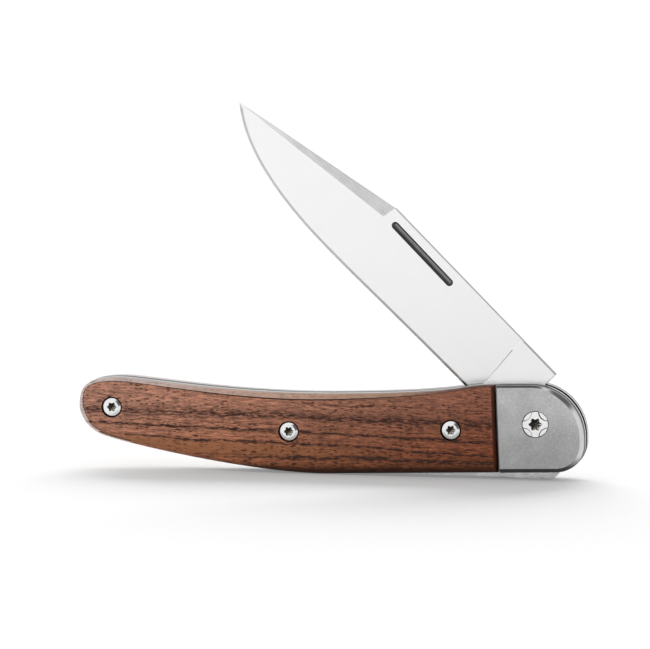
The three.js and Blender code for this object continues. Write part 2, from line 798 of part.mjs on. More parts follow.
addPair("liner", geometryOf(linerSolid()), sheet);
addPair("bolster", geometryOf(bolsterSolid()), blasted);
addPair("scale", geometryOf(scaleSolid()), wood);
addPair("pivot_washer", geometryOf(washerSolid()), bronze);
const scaleScrewGeometry = geometryOf(scaleScrewSolid());
scaleScrewPlaces.forEach((place, i) =>
  addPair(`scale_screw_${i + 1}`, scaleScrewGeometry, polished, place),
);
const bolsterScrewGeometry = geometryOf(bolsterScrewSolid());
bolsterScrewPlaces.forEach((place, i) =>
  addPair(`bolster_screw_${i + 1}`, bolsterScrewGeometry, polished, place),
);
addMesh(standing, "pivot_screw", geometryOf(pivotScrewSolid()), polished);
addMesh(standing, "pivot_barrel", mirrored(geometryOf(pivotBarrelSolid())), polished);
const pinGeometry = geometryOf(pinSolid());
addMesh(standing, "middle_spring_pin", pinGeometry, polished, middlePin);
addMesh(standing, "tail_spring_pin", pinGeometry, polished, tailPin);
addMesh(standing, "backspring", geometryOf(springSolid()), sheet);

const bladeMesh = addMesh(standing, "blade", geometryOf(bladeSolid()), satin);
bladeMesh.rotation.y = -degToRad(restAngle);

// The knife stands on the spring's lowest corner and on the point of the handle's back that a line
// from it touches
const foot = springPoints().reduce((low, point) => (point.y < low.y ? point : low));
const slopes = linerOutline()
  .filter((point) => point.x < joinX)
  .map((point) => (point.y - foot.y) / (foot.x - point.x));
standing.rotation.y = -Math.atan(Math.min(...slopes));
knife.updateMatrixWorld(true);
const box = new THREE.Box3().setFromObject(knife, true);
standing.position.set(-(box.min.x + box.max.x) / 2, 0, -box.min.z);

export default knife;
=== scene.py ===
import math

import bmesh
import bpy
from mathutils import Matrix, Vector


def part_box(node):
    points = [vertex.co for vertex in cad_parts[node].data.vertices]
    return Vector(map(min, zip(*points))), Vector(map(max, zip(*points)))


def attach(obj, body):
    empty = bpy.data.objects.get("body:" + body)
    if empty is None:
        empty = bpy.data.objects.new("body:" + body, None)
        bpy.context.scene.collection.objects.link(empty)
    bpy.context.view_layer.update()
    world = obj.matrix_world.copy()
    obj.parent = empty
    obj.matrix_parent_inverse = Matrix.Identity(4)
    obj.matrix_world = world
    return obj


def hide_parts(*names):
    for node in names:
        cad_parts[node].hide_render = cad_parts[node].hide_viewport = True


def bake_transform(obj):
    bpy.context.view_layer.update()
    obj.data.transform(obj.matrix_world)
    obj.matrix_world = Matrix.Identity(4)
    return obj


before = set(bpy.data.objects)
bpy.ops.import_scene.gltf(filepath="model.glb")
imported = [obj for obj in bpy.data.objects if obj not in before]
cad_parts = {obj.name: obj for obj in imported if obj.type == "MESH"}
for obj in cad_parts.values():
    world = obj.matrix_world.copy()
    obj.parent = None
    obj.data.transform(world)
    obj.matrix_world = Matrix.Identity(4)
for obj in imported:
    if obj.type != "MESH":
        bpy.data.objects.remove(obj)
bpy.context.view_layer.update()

# Sizes in millimetres and angles in degrees, in the handle's own frame: the pivot axis is the origin,
# the butt lies towards -X, the back towards -Z and the front side towards -Y. Depth is counted outwards
# from the middle plane.

MM = 0.001
NOSE_REACH, NOSE_RADIUS, TOE_RADIUS = 9.9, 11, 5.8
SHOULDER, BACK = 8.05, 9.95
WAIST = (-41, 6.36)
CREST, CREST_HEADING = (-87.3, 9.93), 183
BUTT = (-94.15, 3.9)
HEEL, HEEL_HEADING = (-90.2, -1.6), 333
BELLY = (-43, -10.08)
# How far the outline's curves hold their headings before and after each point
SHOULDER_EASE, WAIST_EASES, CREST_EASES = 9, (29, 24), (5, 4)
BUTT_EASES, HEEL_EASES, BELLY_EASE = (5.5, 1), (3.5, 4), 15
JOINT_X, JOINT_LEAN, JOINT_SLIT = -7.9, 1.37, 0.25

SLOT_HALF, LINER_FACE, SIDE_FACE = 1.5, 2.7, 5.7
WOOD_RIM, METAL_RIM = 0.12, 0.1
BEVEL_SHOULDER, BEVEL_WAIST, BEVEL_BUTT = 0.22, 1.2, 0.62
BEVEL_BOTTOM, BEVEL_JOINT, BEVEL_WIDEST_X = 1.4, 0.68, -50
BEVEL_SHARES, BEVEL_ROUNDNESS = (0.2, 0.4, 0.6, 0.7, 0.8), 0.7
CHAMFER_TOP, CHAMFER_NOSE, CHAMFER_JOINT = 0.5, 0.82, 0.06
LINER_BREAK, BOLSTER_BREAK, WOOD_BREAK, PIVOT_BREAK, SPRING_BREAK = 0.12, 0.07, 0.05, 0.06, 0.1

BLADE_HALF, SPINE, RICASSO_EDGE, BLADE_HEEL_X = 1.25, 9.5, 5.5, 4.4
TIP, TIP_HEADING = (89.4, 1.53), 40
CLIP_X, EDGE_BELLY = 51.3, (56, -6.43)
EDGE_EASE, EDGE_BELLY_EASES, TIP_EASE = 30, (12, 7), 12
EDGE_BEVEL, EDGE_HALF, BEVEL_HALF, POINT_LENGTH, POINT_END = 0.55, 0.02, 0.27, 8, 0.4
SWEDGE_X, SWEDGE_RISE, SWEDGE_SPINE_HALF, SWEDGE_SPINE_SHARE = 52.05, 6.65, 0.4, 0.7
PLUNGE_X, PLUNGE_LEAN, PLUNGE_LENGTH, PLUNGE_SHARES = 13.4, 5.37, 0.25, (0.25, 0.5, 0.75, 1)
BODY_STEPS, POINT_STEPS, TANG_LAP = 24, 56, 0.25
PULL_FRONT, PULL_LENGTH, PULL_LEAN = (48.95, 7.06), 15.95, 0.6
PULL_WIDTH, PULL_FLOOR, PULL_SHIFT, PULL_DEPTH = 1.65, 0.6, 0.2, 0.45
TANG_HALF, CLOSED_LIE, CORNER_LIFT, KICK_X, KICK_LENGTH, EDGE_BREAK = 6.2, 2.5, 1.46, 5, 2.2, 0.1
REST_ANGLE = 133.5

SPRING_TAIL, SPRING_MIDDLE, SPRING_LIMB, LIMB_X = 3.3, 3.9, 3, -29
PAD_X, PAD_RAMP, TANG_GAP, HEEL_GAP = -6.6, 1.4, 0.3, 0.3
SPRING_HALF, SPRING_TIP_BEVEL = 1.45, 1.0
LIMB_STEPS, PAD_STEPS = 24, 6

PIN_RADIUS, MIDDLE_PIN, TAIL_PIN = 1, (-42, -8), (-84, -2.03)
BARREL_RADIUS, BARREL_BORE, BARREL_END_GAP = 2.2, 5.9, 0.3
PIVOT_HEAD, PIVOT_HEAD_HEIGHT, PIVOT_RING, PIVOT_SUNK = 2.6, 1.3, 0.12, 0.06
PIVOT_SHANK, PIVOT_SHANK_LENGTH = 1.3, 6
PIVOT_SOCKET, PIVOT_SOCKET_DEPTH = 1.275, 0.78
SCALLOP_INNER, SCALLOP_HALF_ANGLE, SCALLOP_DEPTH, SCALLOP_SLOPE = 1.69, 30, 0.35, 0.16
SCREW_HEAD, SCREW_HEAD_HEIGHT, SCREW_CROWN, SCREW_CROWN_HEIGHT = 1.85, 1, 1.3, 0.18
SCREW_RING, SCREW_SUNK, SCREW_SHANK, SCREW_END_GAP = 0.3, 0.25, 1, 0.1
SCREW_SOCKET, SCREW_SOCKET_DEPTH = 0.95, 0.7
SCREW_PLACES = [(-17.3, -1.12), (-50.6, -1.25), (-87.2, 3.93)]
SMALL_HEAD, SMALL_SHANK, SMALL_GRIP, SMALL_SUNK, SMALL_END_GAP = 1.5, 0.8, 1.6, 0.05, 0.2
SMALL_PLACES = [(-5.229, 4.876), (5.798, -5.798)]
LOBES, LOBE_WAVE = 6, 0.145
LEAD_IN, LEAD_IN_DEPTH, SOCKET_CONE, SOCKET_END = 1.08, 0.08, 0.42, 0.25
FIT, TURN_FIT = 0.04, 0.05
PAST = 1.0
ROUND_STEPS, FINE_STEPS, SMALL_STEPS = 64, 96, 32

# The handle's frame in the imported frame: the pivot and the butt's screw fix its place and tilt


def centre_of(node):
    low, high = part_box(node)
    return (low + high) / 2


PIVOT_AT = centre_of("pivot_screw")
BUTT_SCREW_AT = centre_of("front_scale_screw_3")
SEEN_ANGLE = math.atan2(PIVOT_AT.z - BUTT_SCREW_AT.z, PIVOT_AT.x - BUTT_SCREW_AT.x)
DRAWN_ANGLE = math.atan2(-SCREW_PLACES[2][1], -SCREW_PLACES[2][0])
HANDLE_FRAME = (
    Matrix.Translation((PIVOT_AT.x, 0, PIVOT_AT.z))
    @ Matrix.Rotation(DRAWN_ANGLE - SEEN_ANGLE, 4, "Y")
    @ Matrix.Scale(MM, 4)
)
BLADE_FRAME = HANDLE_FRAME @ Matrix.Rotation(-math.radians(REST_ANGLE), 4, "Y")


# Outlines in the XZ plane, counterclockwise


def heading(degrees):
    return Vector((math.cos(math.radians(degrees)), math.sin(math.radians(degrees))))


def lerp(a, b, t):
    return a + (b - a) * t


def smooth(x, low, high):
    t = min(1, max(0, (x - low) / (high - low)))
    return t * t * (3 - 2 * t)


def remap(x, a, b, c, d):
    return c + (x - a) * (d - c) / (b - a)


class Outline:
    def __init__(self, start):
        self.points = [Vector(start)]

    def line(self, to):
        self.points.append(Vector(to))
        return self

    def sweep(self, leave, leave_ease, to, arrive, arrive_ease, steps):
        """A curve to a point, with the headings that it leaves and arrives with."""
        a, d = self.points[-1], Vector(to)
        b = a + heading(leave) * leave_ease
        c = d - heading(arrive) * arrive_ease
        for i in range(1, steps + 1):
            t = i / steps
            s = 1 - t
            self.points.append(a * s**3 + b * 3 * s * s * t + c * 3 * s * t * t + d * t**3)
        return self

    def arc(self, centre, radius, start, end, steps):
        for i in range(steps + 1):
            self.points.append(Vector(centre) + heading(lerp(start, end, i / steps)) * radius)
        return self

    def closed(self, same=1e-4):
        """The points, without those that fall on the one before."""
        kept = []
        for p in self.points:
            if not kept or (p - kept[-1]).length > same:
                kept.append(p)
        if (kept[0] - kept[-1]).length < same:
            kept.pop()
        return kept


TOE_X = NOSE_REACH - TOE_RADIUS


def back_at(x):
    return remap(x, BELLY[0], TOE_X, BELLY[1], -BACK)


def joint_at(z, shift):
    return (JOINT_X + shift - z * math.tan(math.radians(JOINT_LEAN)), z)


def trace_belly(path):
    return path.sweep(HEEL_HEADING, HEEL_EASES[1], BELLY, 0, BELLY_EASE, 32)


def trace_grip(path, shift):
    path.sweep(180, SHOULDER_EASE, WAIST, 180, WAIST_EASES[0], 32)
    path.sweep(180, WAIST_EASES[1], CREST, CREST_HEADING, CREST_EASES[0], 32)
    path.sweep(CREST_HEADING, CREST_EASES[1], BUTT, 270, BUTT_EASES[0], 16)
    path.sweep(270, BUTT_EASES[1], HEEL, HEEL_HEADING, HEEL_EASES[0], 14)
    return trace_belly(path).line(joint_at(back_at(JOINT_X), shift))


def trace_nose(path, shift):
    path.line((TOE_X, -BACK))
    path.arc((TOE_X, TOE_RADIUS - BACK), TOE_RADIUS, -90, 0, 24)
    path.arc((NOSE_REACH - NOSE_RADIUS, SHOULDER - NOSE_RADIUS), NOSE_RADIUS, 0, 90, 36)
    return path.line(joint_at(SHOULDER, shift))


def liner_outline():
    return trace_nose(trace_grip(Outline(joint_at(SHOULDER, 0)), 0), 0).closed()


def grip_outline():
    shift = -JOINT_SLIT / 2
    return trace_grip(Outline(joint_at(SHOULDER, shift)), shift).closed()


def nose_outline():
    shift = JOINT_SLIT / 2
    return trace_nose(Outline(joint_at(back_at(JOINT_X), shift)), shift).closed()


def inset(points, width_of):
    """The outline moved inwards, each edge by its own width."""

    def inward(a, b):
        return Vector((a.y - b.y, b.x - a.x)).normalized()

    moved = []
    for i, p in enumerate(points):
        before, after = points[i - 1], points[(i + 1) % len(points)]
        a, b = inward(before, p), inward(p, after)
        wa, wb = width_of(before, p, a), width_of(p, after, b)
        turn = a.x * b.y - a.y * b.x
        if abs(turn) < 0.4:
            moved.append(p + (a + b) * ((wa + wb) / 2 / (1 + a.dot(b))))
        else:
            moved.append(p + Vector(((wa * b.y - wb * a.y) / turn, (wb * a.x - wa * b.x) / turn)))
    return moved


# Meshes: built in millimetres, and moved into the frame at the end


def at_depth(points, depth, side=1):
    """A ring of corners; side 1 is the front, and -1 the rear."""
    depths = depth if isinstance(depth, list) else [depth] * len(points)
    return [Vector((p.x, -side * d, p.y)) for p, d in zip(points, depths)]


def strips(rings, slot_of):
    """Side faces through rings with as many corners each; slot_of gives a face's material index."""
    bm = bmesh.new()
    rows = [[bm.verts.new(c) for c in ring] for ring in rings]
    for band, (low, high) in enumerate(zip(rows, rows[1:])):
        for i in range(len(low)):
            j = (i + 1) % len(low)
            face = bm.faces.new((low[i], low[j], high[j], high[i]))
            face.material_index = slot_of(band, i)
    return bm, rows


def new_object(name, mesh):
    thing = bpy.data.objects.new(name, mesh)
    bpy.context.scene.collection.objects.link(thing)
    return thing


def made(name, bm):
    """An object of a mesh whose faces look outwards."""
    bmesh.ops.recalc_face_normals(bm, faces=bm.faces)
    mesh = bpy.data.meshes.new(name)
    bm.to_mesh(mesh)
    bm.free()
    return new_object(name, mesh)


def loft(name, rings, band_slots=None):
    """A closed mesh through rings. band_slots gives a material index per band."""
    bm, rows = strips(rings, lambda band, i: band_slots[band] if band_slots else 0)
    bm.faces.new(rows[0])
    bm.faces.new(rows[-1])
    return made(name, bm)


def dress(thing, materials):
    """Material slots, given before any cut, because the faces keep only the slots that exist then."""
    for material in materials:
        thing.data.materials.append(material)
    return thing


def tinted(thing, index):
    """All its faces on one slot."""
    thing.data.polygons.foreach_set("material_index", [index] * len(thing.data.polygons))
    return thing


def circle(place, radius, steps):
    return [Vector(place) + heading(360 * i / steps) * radius for i in range(steps)]


def drum(place, radius, inner, outer, side=1, steps=ROUND_STEPS):
    return lathe(place, [(radius, inner), (radius, outer)], side, steps)


def lathe(place, profile, side, steps, band_slots=None):
    """A turned solid round the Y axis from pairs of a radius and a depth, none of them at the axis."""
    return loft("turned", [at_depth(circle(place, r, steps), d, side) for r, d in profile], band_slots)


def lobed(place, radius, steps=72):
    points = []
    for i in range(steps):
        angle = 360 * i / steps
        reach = radius * (1 - LOBE_WAVE + LOBE_WAVE * math.cos(math.radians(LOBES * angle)))
        points.append(Vector(place) + heading(angle) * reach)
    return points


def socket(place, radius, floor, mouth, side=1):
    """A hexalobular hole with a small lead-in and a conical floor."""
    profile = [
        (radius * LEAD_IN, mouth + PAST),
        (radius * LEAD_IN, mouth),
        (radius, mouth - LEAD_IN_DEPTH),
        (radius, floor),
        (radius * SOCKET_END, floor - SOCKET_CONE * radius),
    ]
    return loft("socket", [at_depth(lobed(place, r), d, side) for r, d in profile])


def applied(thing):
    """Its modifiers made part of its mesh."""
    depsgraph = bpy.context.evaluated_depsgraph_get()
    mesh = bpy.data.meshes.new_from_object(thing.evaluated_get(depsgraph), depsgraph=depsgraph)
    thing.modifiers.clear()
    thing.data = mesh
    return thing


def joined(things):
    first = things[0]
    if len(things) > 1:
        bm = bmesh.new()
        for thing in things:
            bm.from_mesh(thing.data)
        bm.to_mesh(first.data)
        bm.free()
        for thing in things[1:]:
            bpy.data.objects.remove(thing)
    return first


def cut(thing, cutters, operation="DIFFERENCE"):
    cutter = dress(joined(cutters), list(thing.data.materials))
    step = thing.modifiers.new("cut", "BOOLEAN")
    step.operation = operation
    step.solver = "EXACT"
    step.object = cutter
    step.material_mode = "INDEX"
    applied(thing)
    bpy.data.objects.remove(cutter)
    return thing


def soften(thing, width, angle=30):
    step = thing.modifiers.new("soft edges", "BEVEL")
    step.width = width
    step.segments = 2
    step.limit_method = "ANGLE"
    step.angle_limit = math.radians(angle)
    step.miter_outer = "MITER_ARC"
    thing.data.shade_smooth()
    return applied(thing)


def shade(thing, angle=30):
    thing.data.shade_smooth()
    thing.data.set_sharp_from_angle(angle=math.radians(angle))
    step = thing.modifiers.new("face weights", "WEIGHTED_NORMAL")
    step.keep_sharp = True
    step.weight = 100
    return applied(thing)


def finish(thing, name, nodes, angle=30, body="handle", place=HANDLE_FRAME):
    """The finished piece: shaded, named, in its place, on its body and instead of its nodes."""
    shade(thing, angle)
    thing.data.transform(place)
    thing.name = thing.data.name = name
    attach(thing, body)
    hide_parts(*nodes)


# Materials


class Tree:
    """A short way to write the nodes of a finish, of the room or of the fasteners."""

    def __init__(self, tree):
        self.tree = tree

    def give(self, socket, value):
        if isinstance(value, bpy.types.NodeSocket):
            self.tree.links.new(value, socket)
        elif value is not None:
            socket.default_value = value

    def add(self, kind, *values, **settings):
        """A node with its settings, and the values of its first inputs."""
        node = self.tree.nodes.new(kind)
        for key, value in settings.items():
            setattr(node, key, value)
        for socket, value in zip([s for s in node.inputs if s.enabled], values):
            self.give(socket, value)
        return node

    def value(self, node, **inputs):
        for key, value in inputs.items():
            self.give(node.inputs[key.replace("_", " ")], value)
        return node

    def math(self, operation, *values, clamp=False):
        return self.add("ShaderNodeMath", *values, operation=operation, use_clamp=clamp).outputs[0]

    def plus(self, a, b):
        return self.math("ADD", a, b)

    def minus(self, a, b):
        return self.math("SUBTRACT", a, b)

    def times(self, first, *others, clamp=False):
        for other in others:
            first = self.math("MULTIPLY", first, other, clamp=clamp)
        return first

    def facing(self, vector, direction):
        turn = self.add("ShaderNodeVectorMath", vector, direction, operation="DOT_PRODUCT")
        return turn.outputs["Value"]

    def remap(self, value, a, b, low=0.0, high=1.0, smoothed=False):
        node = self.add("ShaderNodeMapRange", interpolation_type="SMOOTHSTEP" if smoothed else "LINEAR")
        self.value(node, Value=value, From_Min=a, From_Max=b, To_Min=low, To_Max=high)
        return node.outputs[0]


class Look(Tree):
    """The nodes of one finish."""

    def __init__(self, name):
        self.material = bpy.data.materials.new(name)
        self.material.use_nodes = True
        super().__init__(self.material.node_tree)
        self.shader = self.tree.nodes["Principled BSDF"]

    def coordinates(self, frame_matrix=HANDLE_FRAME, scale=(1, 1, 1)):
        """Object coordinates in millimetres in a piece's own frame, so that a pattern lies along it."""
        place, turned, _ = frame_matrix.decompose()
        seen = self.add("ShaderNodeTexCoord").outputs["Object"]
        own = self.add("ShaderNodeMapping", vector_type="TEXTURE")
        self.value(own, Vector=seen, Location=place, Rotation=turned.to_euler(), Scale=(MM, MM, MM))
        size = self.add("ShaderNodeMapping", vector_type="POINT")
        return self.value(size, Vector=own.outputs[0], Scale=scale).outputs[0]

    def noise(self, vector, scale, detail=2, roughness=0.5):
        node = self.add("ShaderNodeTexNoise")
        self.value(node, Vector=vector, Scale=scale, Detail=detail, Roughness=roughness)
        return node.outputs["Fac"]

    def ramp(self, factor, stops):
        """A colour by a factor; the stops may stand at places in millimetres."""
        first, last = stops[0][0], stops[-1][0]
        node = self.add("ShaderNodeValToRGB")
        elements = node.color_ramp.elements
        while len(elements) < len(stops):
            elements.new(1)
        for element, (place, colour) in zip(elements, stops):
            element.position = (place - first) / (last - first)
            element.color = (*colour, 1)
        self.give(node.inputs["Fac"], self.remap(factor, first, last))
        return node.outputs["Color"]

    def mix(self, factor, a, b, blend="MIX"):
        node = self.add("ShaderNodeMix", data_type="RGBA", blend_type=blend)
        for place, value in ((0, factor), (6, a), (7, b)):
            self.give(node.inputs[place], (*value, 1) if isinstance(value, tuple) else value)
        return node.outputs[2]

    def bump(self, height, strength, relief, normal=None):
        node = self.add("ShaderNodeBump")
        self.value(node, Strength=strength, Distance=relief * MM, Height=height, Normal=normal)
        return node.outputs[0]

    def metal(self, level, tint, rough, grain, relief):
        """Bare metal from a level of grey and a tint; the grain is its relief, in millimetres."""
        colour = self.add("ShaderNodeCombineColor")
        for socket, share in zip(colour.inputs, tint):
            self.give(socket, self.times(level, share, clamp=True))
        normal = self.bump(grain, 1.0, relief)
        self.value(
            self.shader, Base_Color=colour.outputs[0], Roughness=rough, Metallic=1.0, Normal=normal
        )
        return self.material


def grey(level):
    return (level, level, level)


# The scale of the clouds, the share of the fine grain in the mixed pattern, and the roughness's spread
CLOUD_SCALE, FINE_SHARE, ROUGH_SPREAD = 0.16, 0.6, 0.15
EVEN = (1, 1, 1)


def steel(name, tones, rough, grain, lines, relief, place=HANDLE_FRAME, clouds=0.06, tint=EVEN):
    """Metal with a grain that lines stretches along one axis, and with wide soft clouds.

    tones is one level, or an axis and two places along it with their levels."""
    look = Look(name)
    plain = look.coordinates(place)
    fine = look.noise(look.coordinates(place, lines), grain, 3, 0.6)
    wide = look.noise(plain, CLOUD_SCALE)
    mixed = look.plus(look.times(fine, FINE_SHARE), look.times(wide, 1 - FINE_SHARE))
    level = tones
    if isinstance(tones, tuple):
        axis, a, tone_a, b, tone_b = tones
        axes = look.add("ShaderNodeSeparateXYZ", plain).outputs
        level = look.remap(axes[axis], a, b, tone_a, tone_b)
    level = look.times(look.remap(mixed, 0.32, 0.68, 1 - clouds, 1 + clouds), level)
    rough = look.remap(mixed, 0.3, 0.7, rough * (1 - ROUGH_SPREAD), rough * (1 + ROUGH_SPREAD))
    return look.metal(level, tint, rough, fine, relief)


# The sockets' tones are painted light and shade, set by which way a face looks
SOCKET_LIT_SIDE, SOCKET_TURN, SOCKET_TONES = (-0.8, 0, 0.6), (-0.05, 0.4), (0.045, 0.75)
SOCKET_TINT, SOCKET_ROUGHNESS = (1, 0.93, 0.84), 0.36


def socket_steel(name):
    """Broached steel with painted light and shade: paler where the hole's walls and floor face up and to
    the left, and darker elsewhere.
    """
    look = Look(name)
    turned = look.facing(look.add("ShaderNodeNewGeometry").outputs["Normal"], SOCKET_LIT_SIDE)
    level = look.remap(turned, *SOCKET_TURN, *SOCKET_TONES, smoothed=True)
    fine = look.noise(look.coordinates(), 5, 3, 0.6)
    level = look.times(level, look.remap(fine, 0.3, 0.7, 0.85, 1.15))
    return look.metal(level, SOCKET_TINT, SOCKET_ROUGHNESS, fine, 0.003)


# The wood's tones along the handle, from the butt to the bolster: its face, its bevels on the top and
# round the butt, its underside, its end by the bolster and the bevel's corner. The face darkens towards
# the bolster as painted shade over the wood's own colour, the bevels carry a painted sheen, the
# underside is painted shade (paler by the butt as painted light), the end by the bolster is painted
# shade, and the bevel's corner is a dark line of painted shade
WOOD_FACE = [
    (-92, (0.4, 0.185, 0.12)),
    (-62, (0.4, 0.172, 0.103)),
    (-40, (0.305, 0.124, 0.073)),
    (-10, (0.25, 0.085, 0.044)),
]
WOOD_BEVEL_SHEEN = [
    (-92, (0.56, 0.45, 0.42)),
    (-62, (0.5, 0.335, 0.265)),
    (-40, (0.47, 0.275, 0.185)),
    (-28, (0.36, 0.21, 0.14)),
    (-18, (0.17, 0.08, 0.05)),
    (-10, (0.1, 0.045, 0.028)),
]
WOOD_LOW_SHADE = [
    (-86, (0.5, 0.4, 0.34)),
    (-72, (0.26, 0.13, 0.07)),
    (-55, (0.1, 0.03, 0.01)),
    (-10, (0.055, 0.014, 0.005)),
]
WOOD_END_SHADE = [(-80, (0.1, 0.035, 0.02)), (-10, (0.09, 0.03, 0.017))]
WOOD_CORNER_SHADE = [(-92, (0.05, 0.022, 0.014)), (-10, (0.02, 0.007, 0.004))]

# The underside's line, from the butt's heel to the flat back, and the shade above it: how far it
# reaches, its depth, and where along the handle it sets in
UNDERSIDE = [(-88, -2.6), (-80, -5.4), (-70, -7.9), (-60, -9.3), (-50, -9.95), (-10, -10.0)]
UNDERSIDE_RANGE = 12
SHADE_HEIGHTS, SHADE_DEPTH, SHADE_BEGINS = (0.6, 2.4), 0.22, (-76, -52)

# The grain wanders and ripples by these heights, and falls by this slope towards the bolster
WANDER, RIPPLE, GRAIN_FALL = 1.8, 0.35, 0.055

# Dark streaks: height at STREAK_X, slope, half width, strength, and where along x it begins
STREAK_X, STREAK_FADE = -50, 14
STREAK_TONE = (0.045, 0.021, 0.017)
STREAKS = [
    (1.85, -0.047, 1.15, 0.6, -120),
    (1.6, -0.047, 0.42, 0.85, -75),
    (-1.3, -0.059, 0.42, 0.95, -120),
    (-3.85, -0.064, 0.36, 0.9, -92),
    (-6.6, -0.034, 0.6, 0.85, -66),
    (-0.1, -0.06, 0.2, 0.45, -80),
    (-2.9, -0.06, 0.22, 0.4, -60),
    (4.6, -0.05, 0.2, 0.45, -60),
]

# A lighter, yellower band between two streaks, low on the rear half
BAND_HEIGHT, BAND_SLOPE, BAND_TONE = -5.6, -0.075, (0.33, 0.135, 0.055)

# Pores: cells along and across the grain, the share of cells with one, and its smallest and largest size
PORES = [(0.5, 2.3, 0.3, 0.2, 0.42), (0.9, 3.4, 0.35, 0.25, 0.45)]
PORE_DARKNESS, PORE_TONE = 0.7, (0.055, 0.019, 0.011)

# Painted shade: the low part of the face takes a warmer, darker colour
LOW_SHADE_TINT = [(-9, (1.0, 0.84, 0.68)), (3, (1.0, 1.0, 1.0))]


def make_wood(name, tones, low_shade=0.74, contrast=1.0, top_sheen=0.03):
    """Brown wood. Its grain runs along the handle, falls a little towards the bolster, and wanders."""
    look = Look(name)
    along, deep, high = look.add("ShaderNodeSeparateXYZ", look.coordinates()).outputs
    wander = look.minus(look.noise(look.coordinates(scale=(0.05, 0.2, 0.08)), 1.0, 3, 0.6), 0.5)
    ripple = look.minus(look.noise(look.coordinates(scale=(0.3, 0.5, 0.4)), 1.0), 0.5)
    shift = look.plus(look.times(wander, WANDER), look.times(ripple, RIPPLE))
    level = look.plus(high, shift)
    run = look.plus(along, -STREAK_X)
    fallen = look.plus(level, look.times(run, GRAIN_FALL))

    def stretched(x_scale, z_scale):
        at = look.add(
            "ShaderNodeCombineXYZ",
            look.times(along, x_scale),
            look.times(deep, z_scale * 0.4),
            look.times(fallen, z_scale),
        )
        return at.outputs[0]

    def flecks(x_scale, z_scale, share, small, large):
        """Short dashes along the grain, in a share of the cells: one value for each point."""
        cells = look.add("ShaderNodeTexVoronoi", feature="F1")
        look.value(cells, Vector=stretched(x_scale, z_scale), Scale=1.0, Randomness=1.0)
        part = look.add("ShaderNodeSeparateColor", cells.outputs["Color"]).outputs[0]
        chosen = look.remap(part, share, share + 0.12, 1.0, 0.0)
        return look.times(look.remap(cells.outputs["Distance"], small, large, 1.0, 0.0), chosen)

    def near(slope, height):
        """How far a point lies above or below a line along the grain."""
        return look.math("ABSOLUTE", look.minus(level, look.plus(look.times(run, slope), height)))

    def swing(value, low, high, strength):
        return look.remap(value, low, high, 1 - strength, 1 + strength)

    bands = look.noise(stretched(0.012, 0.42), 1.0)
    fibres = look.noise(stretched(0.4, 3.0), 1.0, 4, 0.68)
    threads = look.noise(stretched(1.5, 7.0), 1.0, 2, 0.6)

    # The rounded lower edge turns away from the light
    stops = [(x, grey((z + UNDERSIDE_RANGE) / UNDERSIDE_RANGE)) for x, z in UNDERSIDE]
    underside = look.times(look.ramp(along, stops), UNDERSIDE_RANGE)
    above = look.minus(look.plus(high, UNDERSIDE_RANGE), underside)
    shade = look.minus(look.remap(above, *SHADE_HEIGHTS, SHADE_DEPTH, 1.0, smoothed=True), 1.0)
    shade = look.times(shade, look.remap(along, *SHADE_BEGINS, smoothed=True))
    # Painted shade: the face gets darker towards its bottom; the bands, fibres and threads are the
    # grain's own
    light = look.times(
        look.remap(level, -3, -9, 1.0, low_shade, smoothed=True),
        look.plus(shade, 1.0),
        swing(bands, 0.3, 0.7, 0.12),
        swing(fibres, 0.3, 0.7, 0.5 * contrast),
        swing(threads, 0.25, 0.75, 0.3 * contrast),
    )
    scaled = look.add("ShaderNodeVectorMath", operation="SCALE")
    look.value(scaled, Vector=look.ramp(along, tones), Scale=light)

    # Painted sheen: the colour is made a little paler towards the top
    pale = look.remap(high, -6, 5, 0.0, top_sheen)
    pale = look.add("ShaderNodeVectorMath", scaled.outputs[0], pale, operation="ADD")
    colour = look.mix(1.0, pale.outputs[0], look.ramp(high, LOW_SHADE_TINT), "MULTIPLY")

    glow = look.times(
        look.remap(near(BAND_SLOPE, BAND_HEIGHT), 0.5, 1.8, 0.55, 0.0),
        look.remap(along, -44, -34, 1.0, 0.15),
        look.remap(fibres, 0.35, 0.65, 0.6, 1.0),
    )
    colour = look.mix(look.times(glow, contrast, clamp=True), colour, BAND_TONE)

    streaks = 0.0
    for height, slope, half, strength, begin in STREAKS:
        gap = look.math("DIVIDE", near(slope, height), half)
        streak = look.math("POWER", look.math("SUBTRACT", 1.0, gap, clamp=True), 0.6)
        streak = look.times(streak, strength, look.remap(along, begin, begin + STREAK_FADE))
        streaks = look.math("MAXIMUM", streaks, streak)
    torn = look.remap(look.noise(stretched(0.7, 3.6), 1.0, 3, 0.62), 0.4, 0.58, 0.15, 1.25)
    colour = look.mix(look.times(streaks, torn, contrast, clamp=True), colour, STREAK_TONE)

    # More pores in some places than in others
    some = look.remap(look.noise(look.coordinates(scale=(0.1, 0.4, 0.4)), 1.0), 0.35, 0.6, 0.35, 1.0)
    pore = look.times(look.math("MAXIMUM", *(flecks(*sizes) for sizes in PORES)), some)
    colour = look.mix(look.times(pore, PORE_DARKNESS * contrast), colour, PORE_TONE)
    relief = look.bump(look.minus(1.0, pore), 0.6, 0.08, look.bump(fibres, 0.5, 0.07))
    rough = look.remap(fibres, 0.3, 0.7, 0.5, 0.64)
    look.value(look.shader, Base_Color=colour, Roughness=rough, Normal=relief, Specular_IOR_Level=0.12)
    return look.material


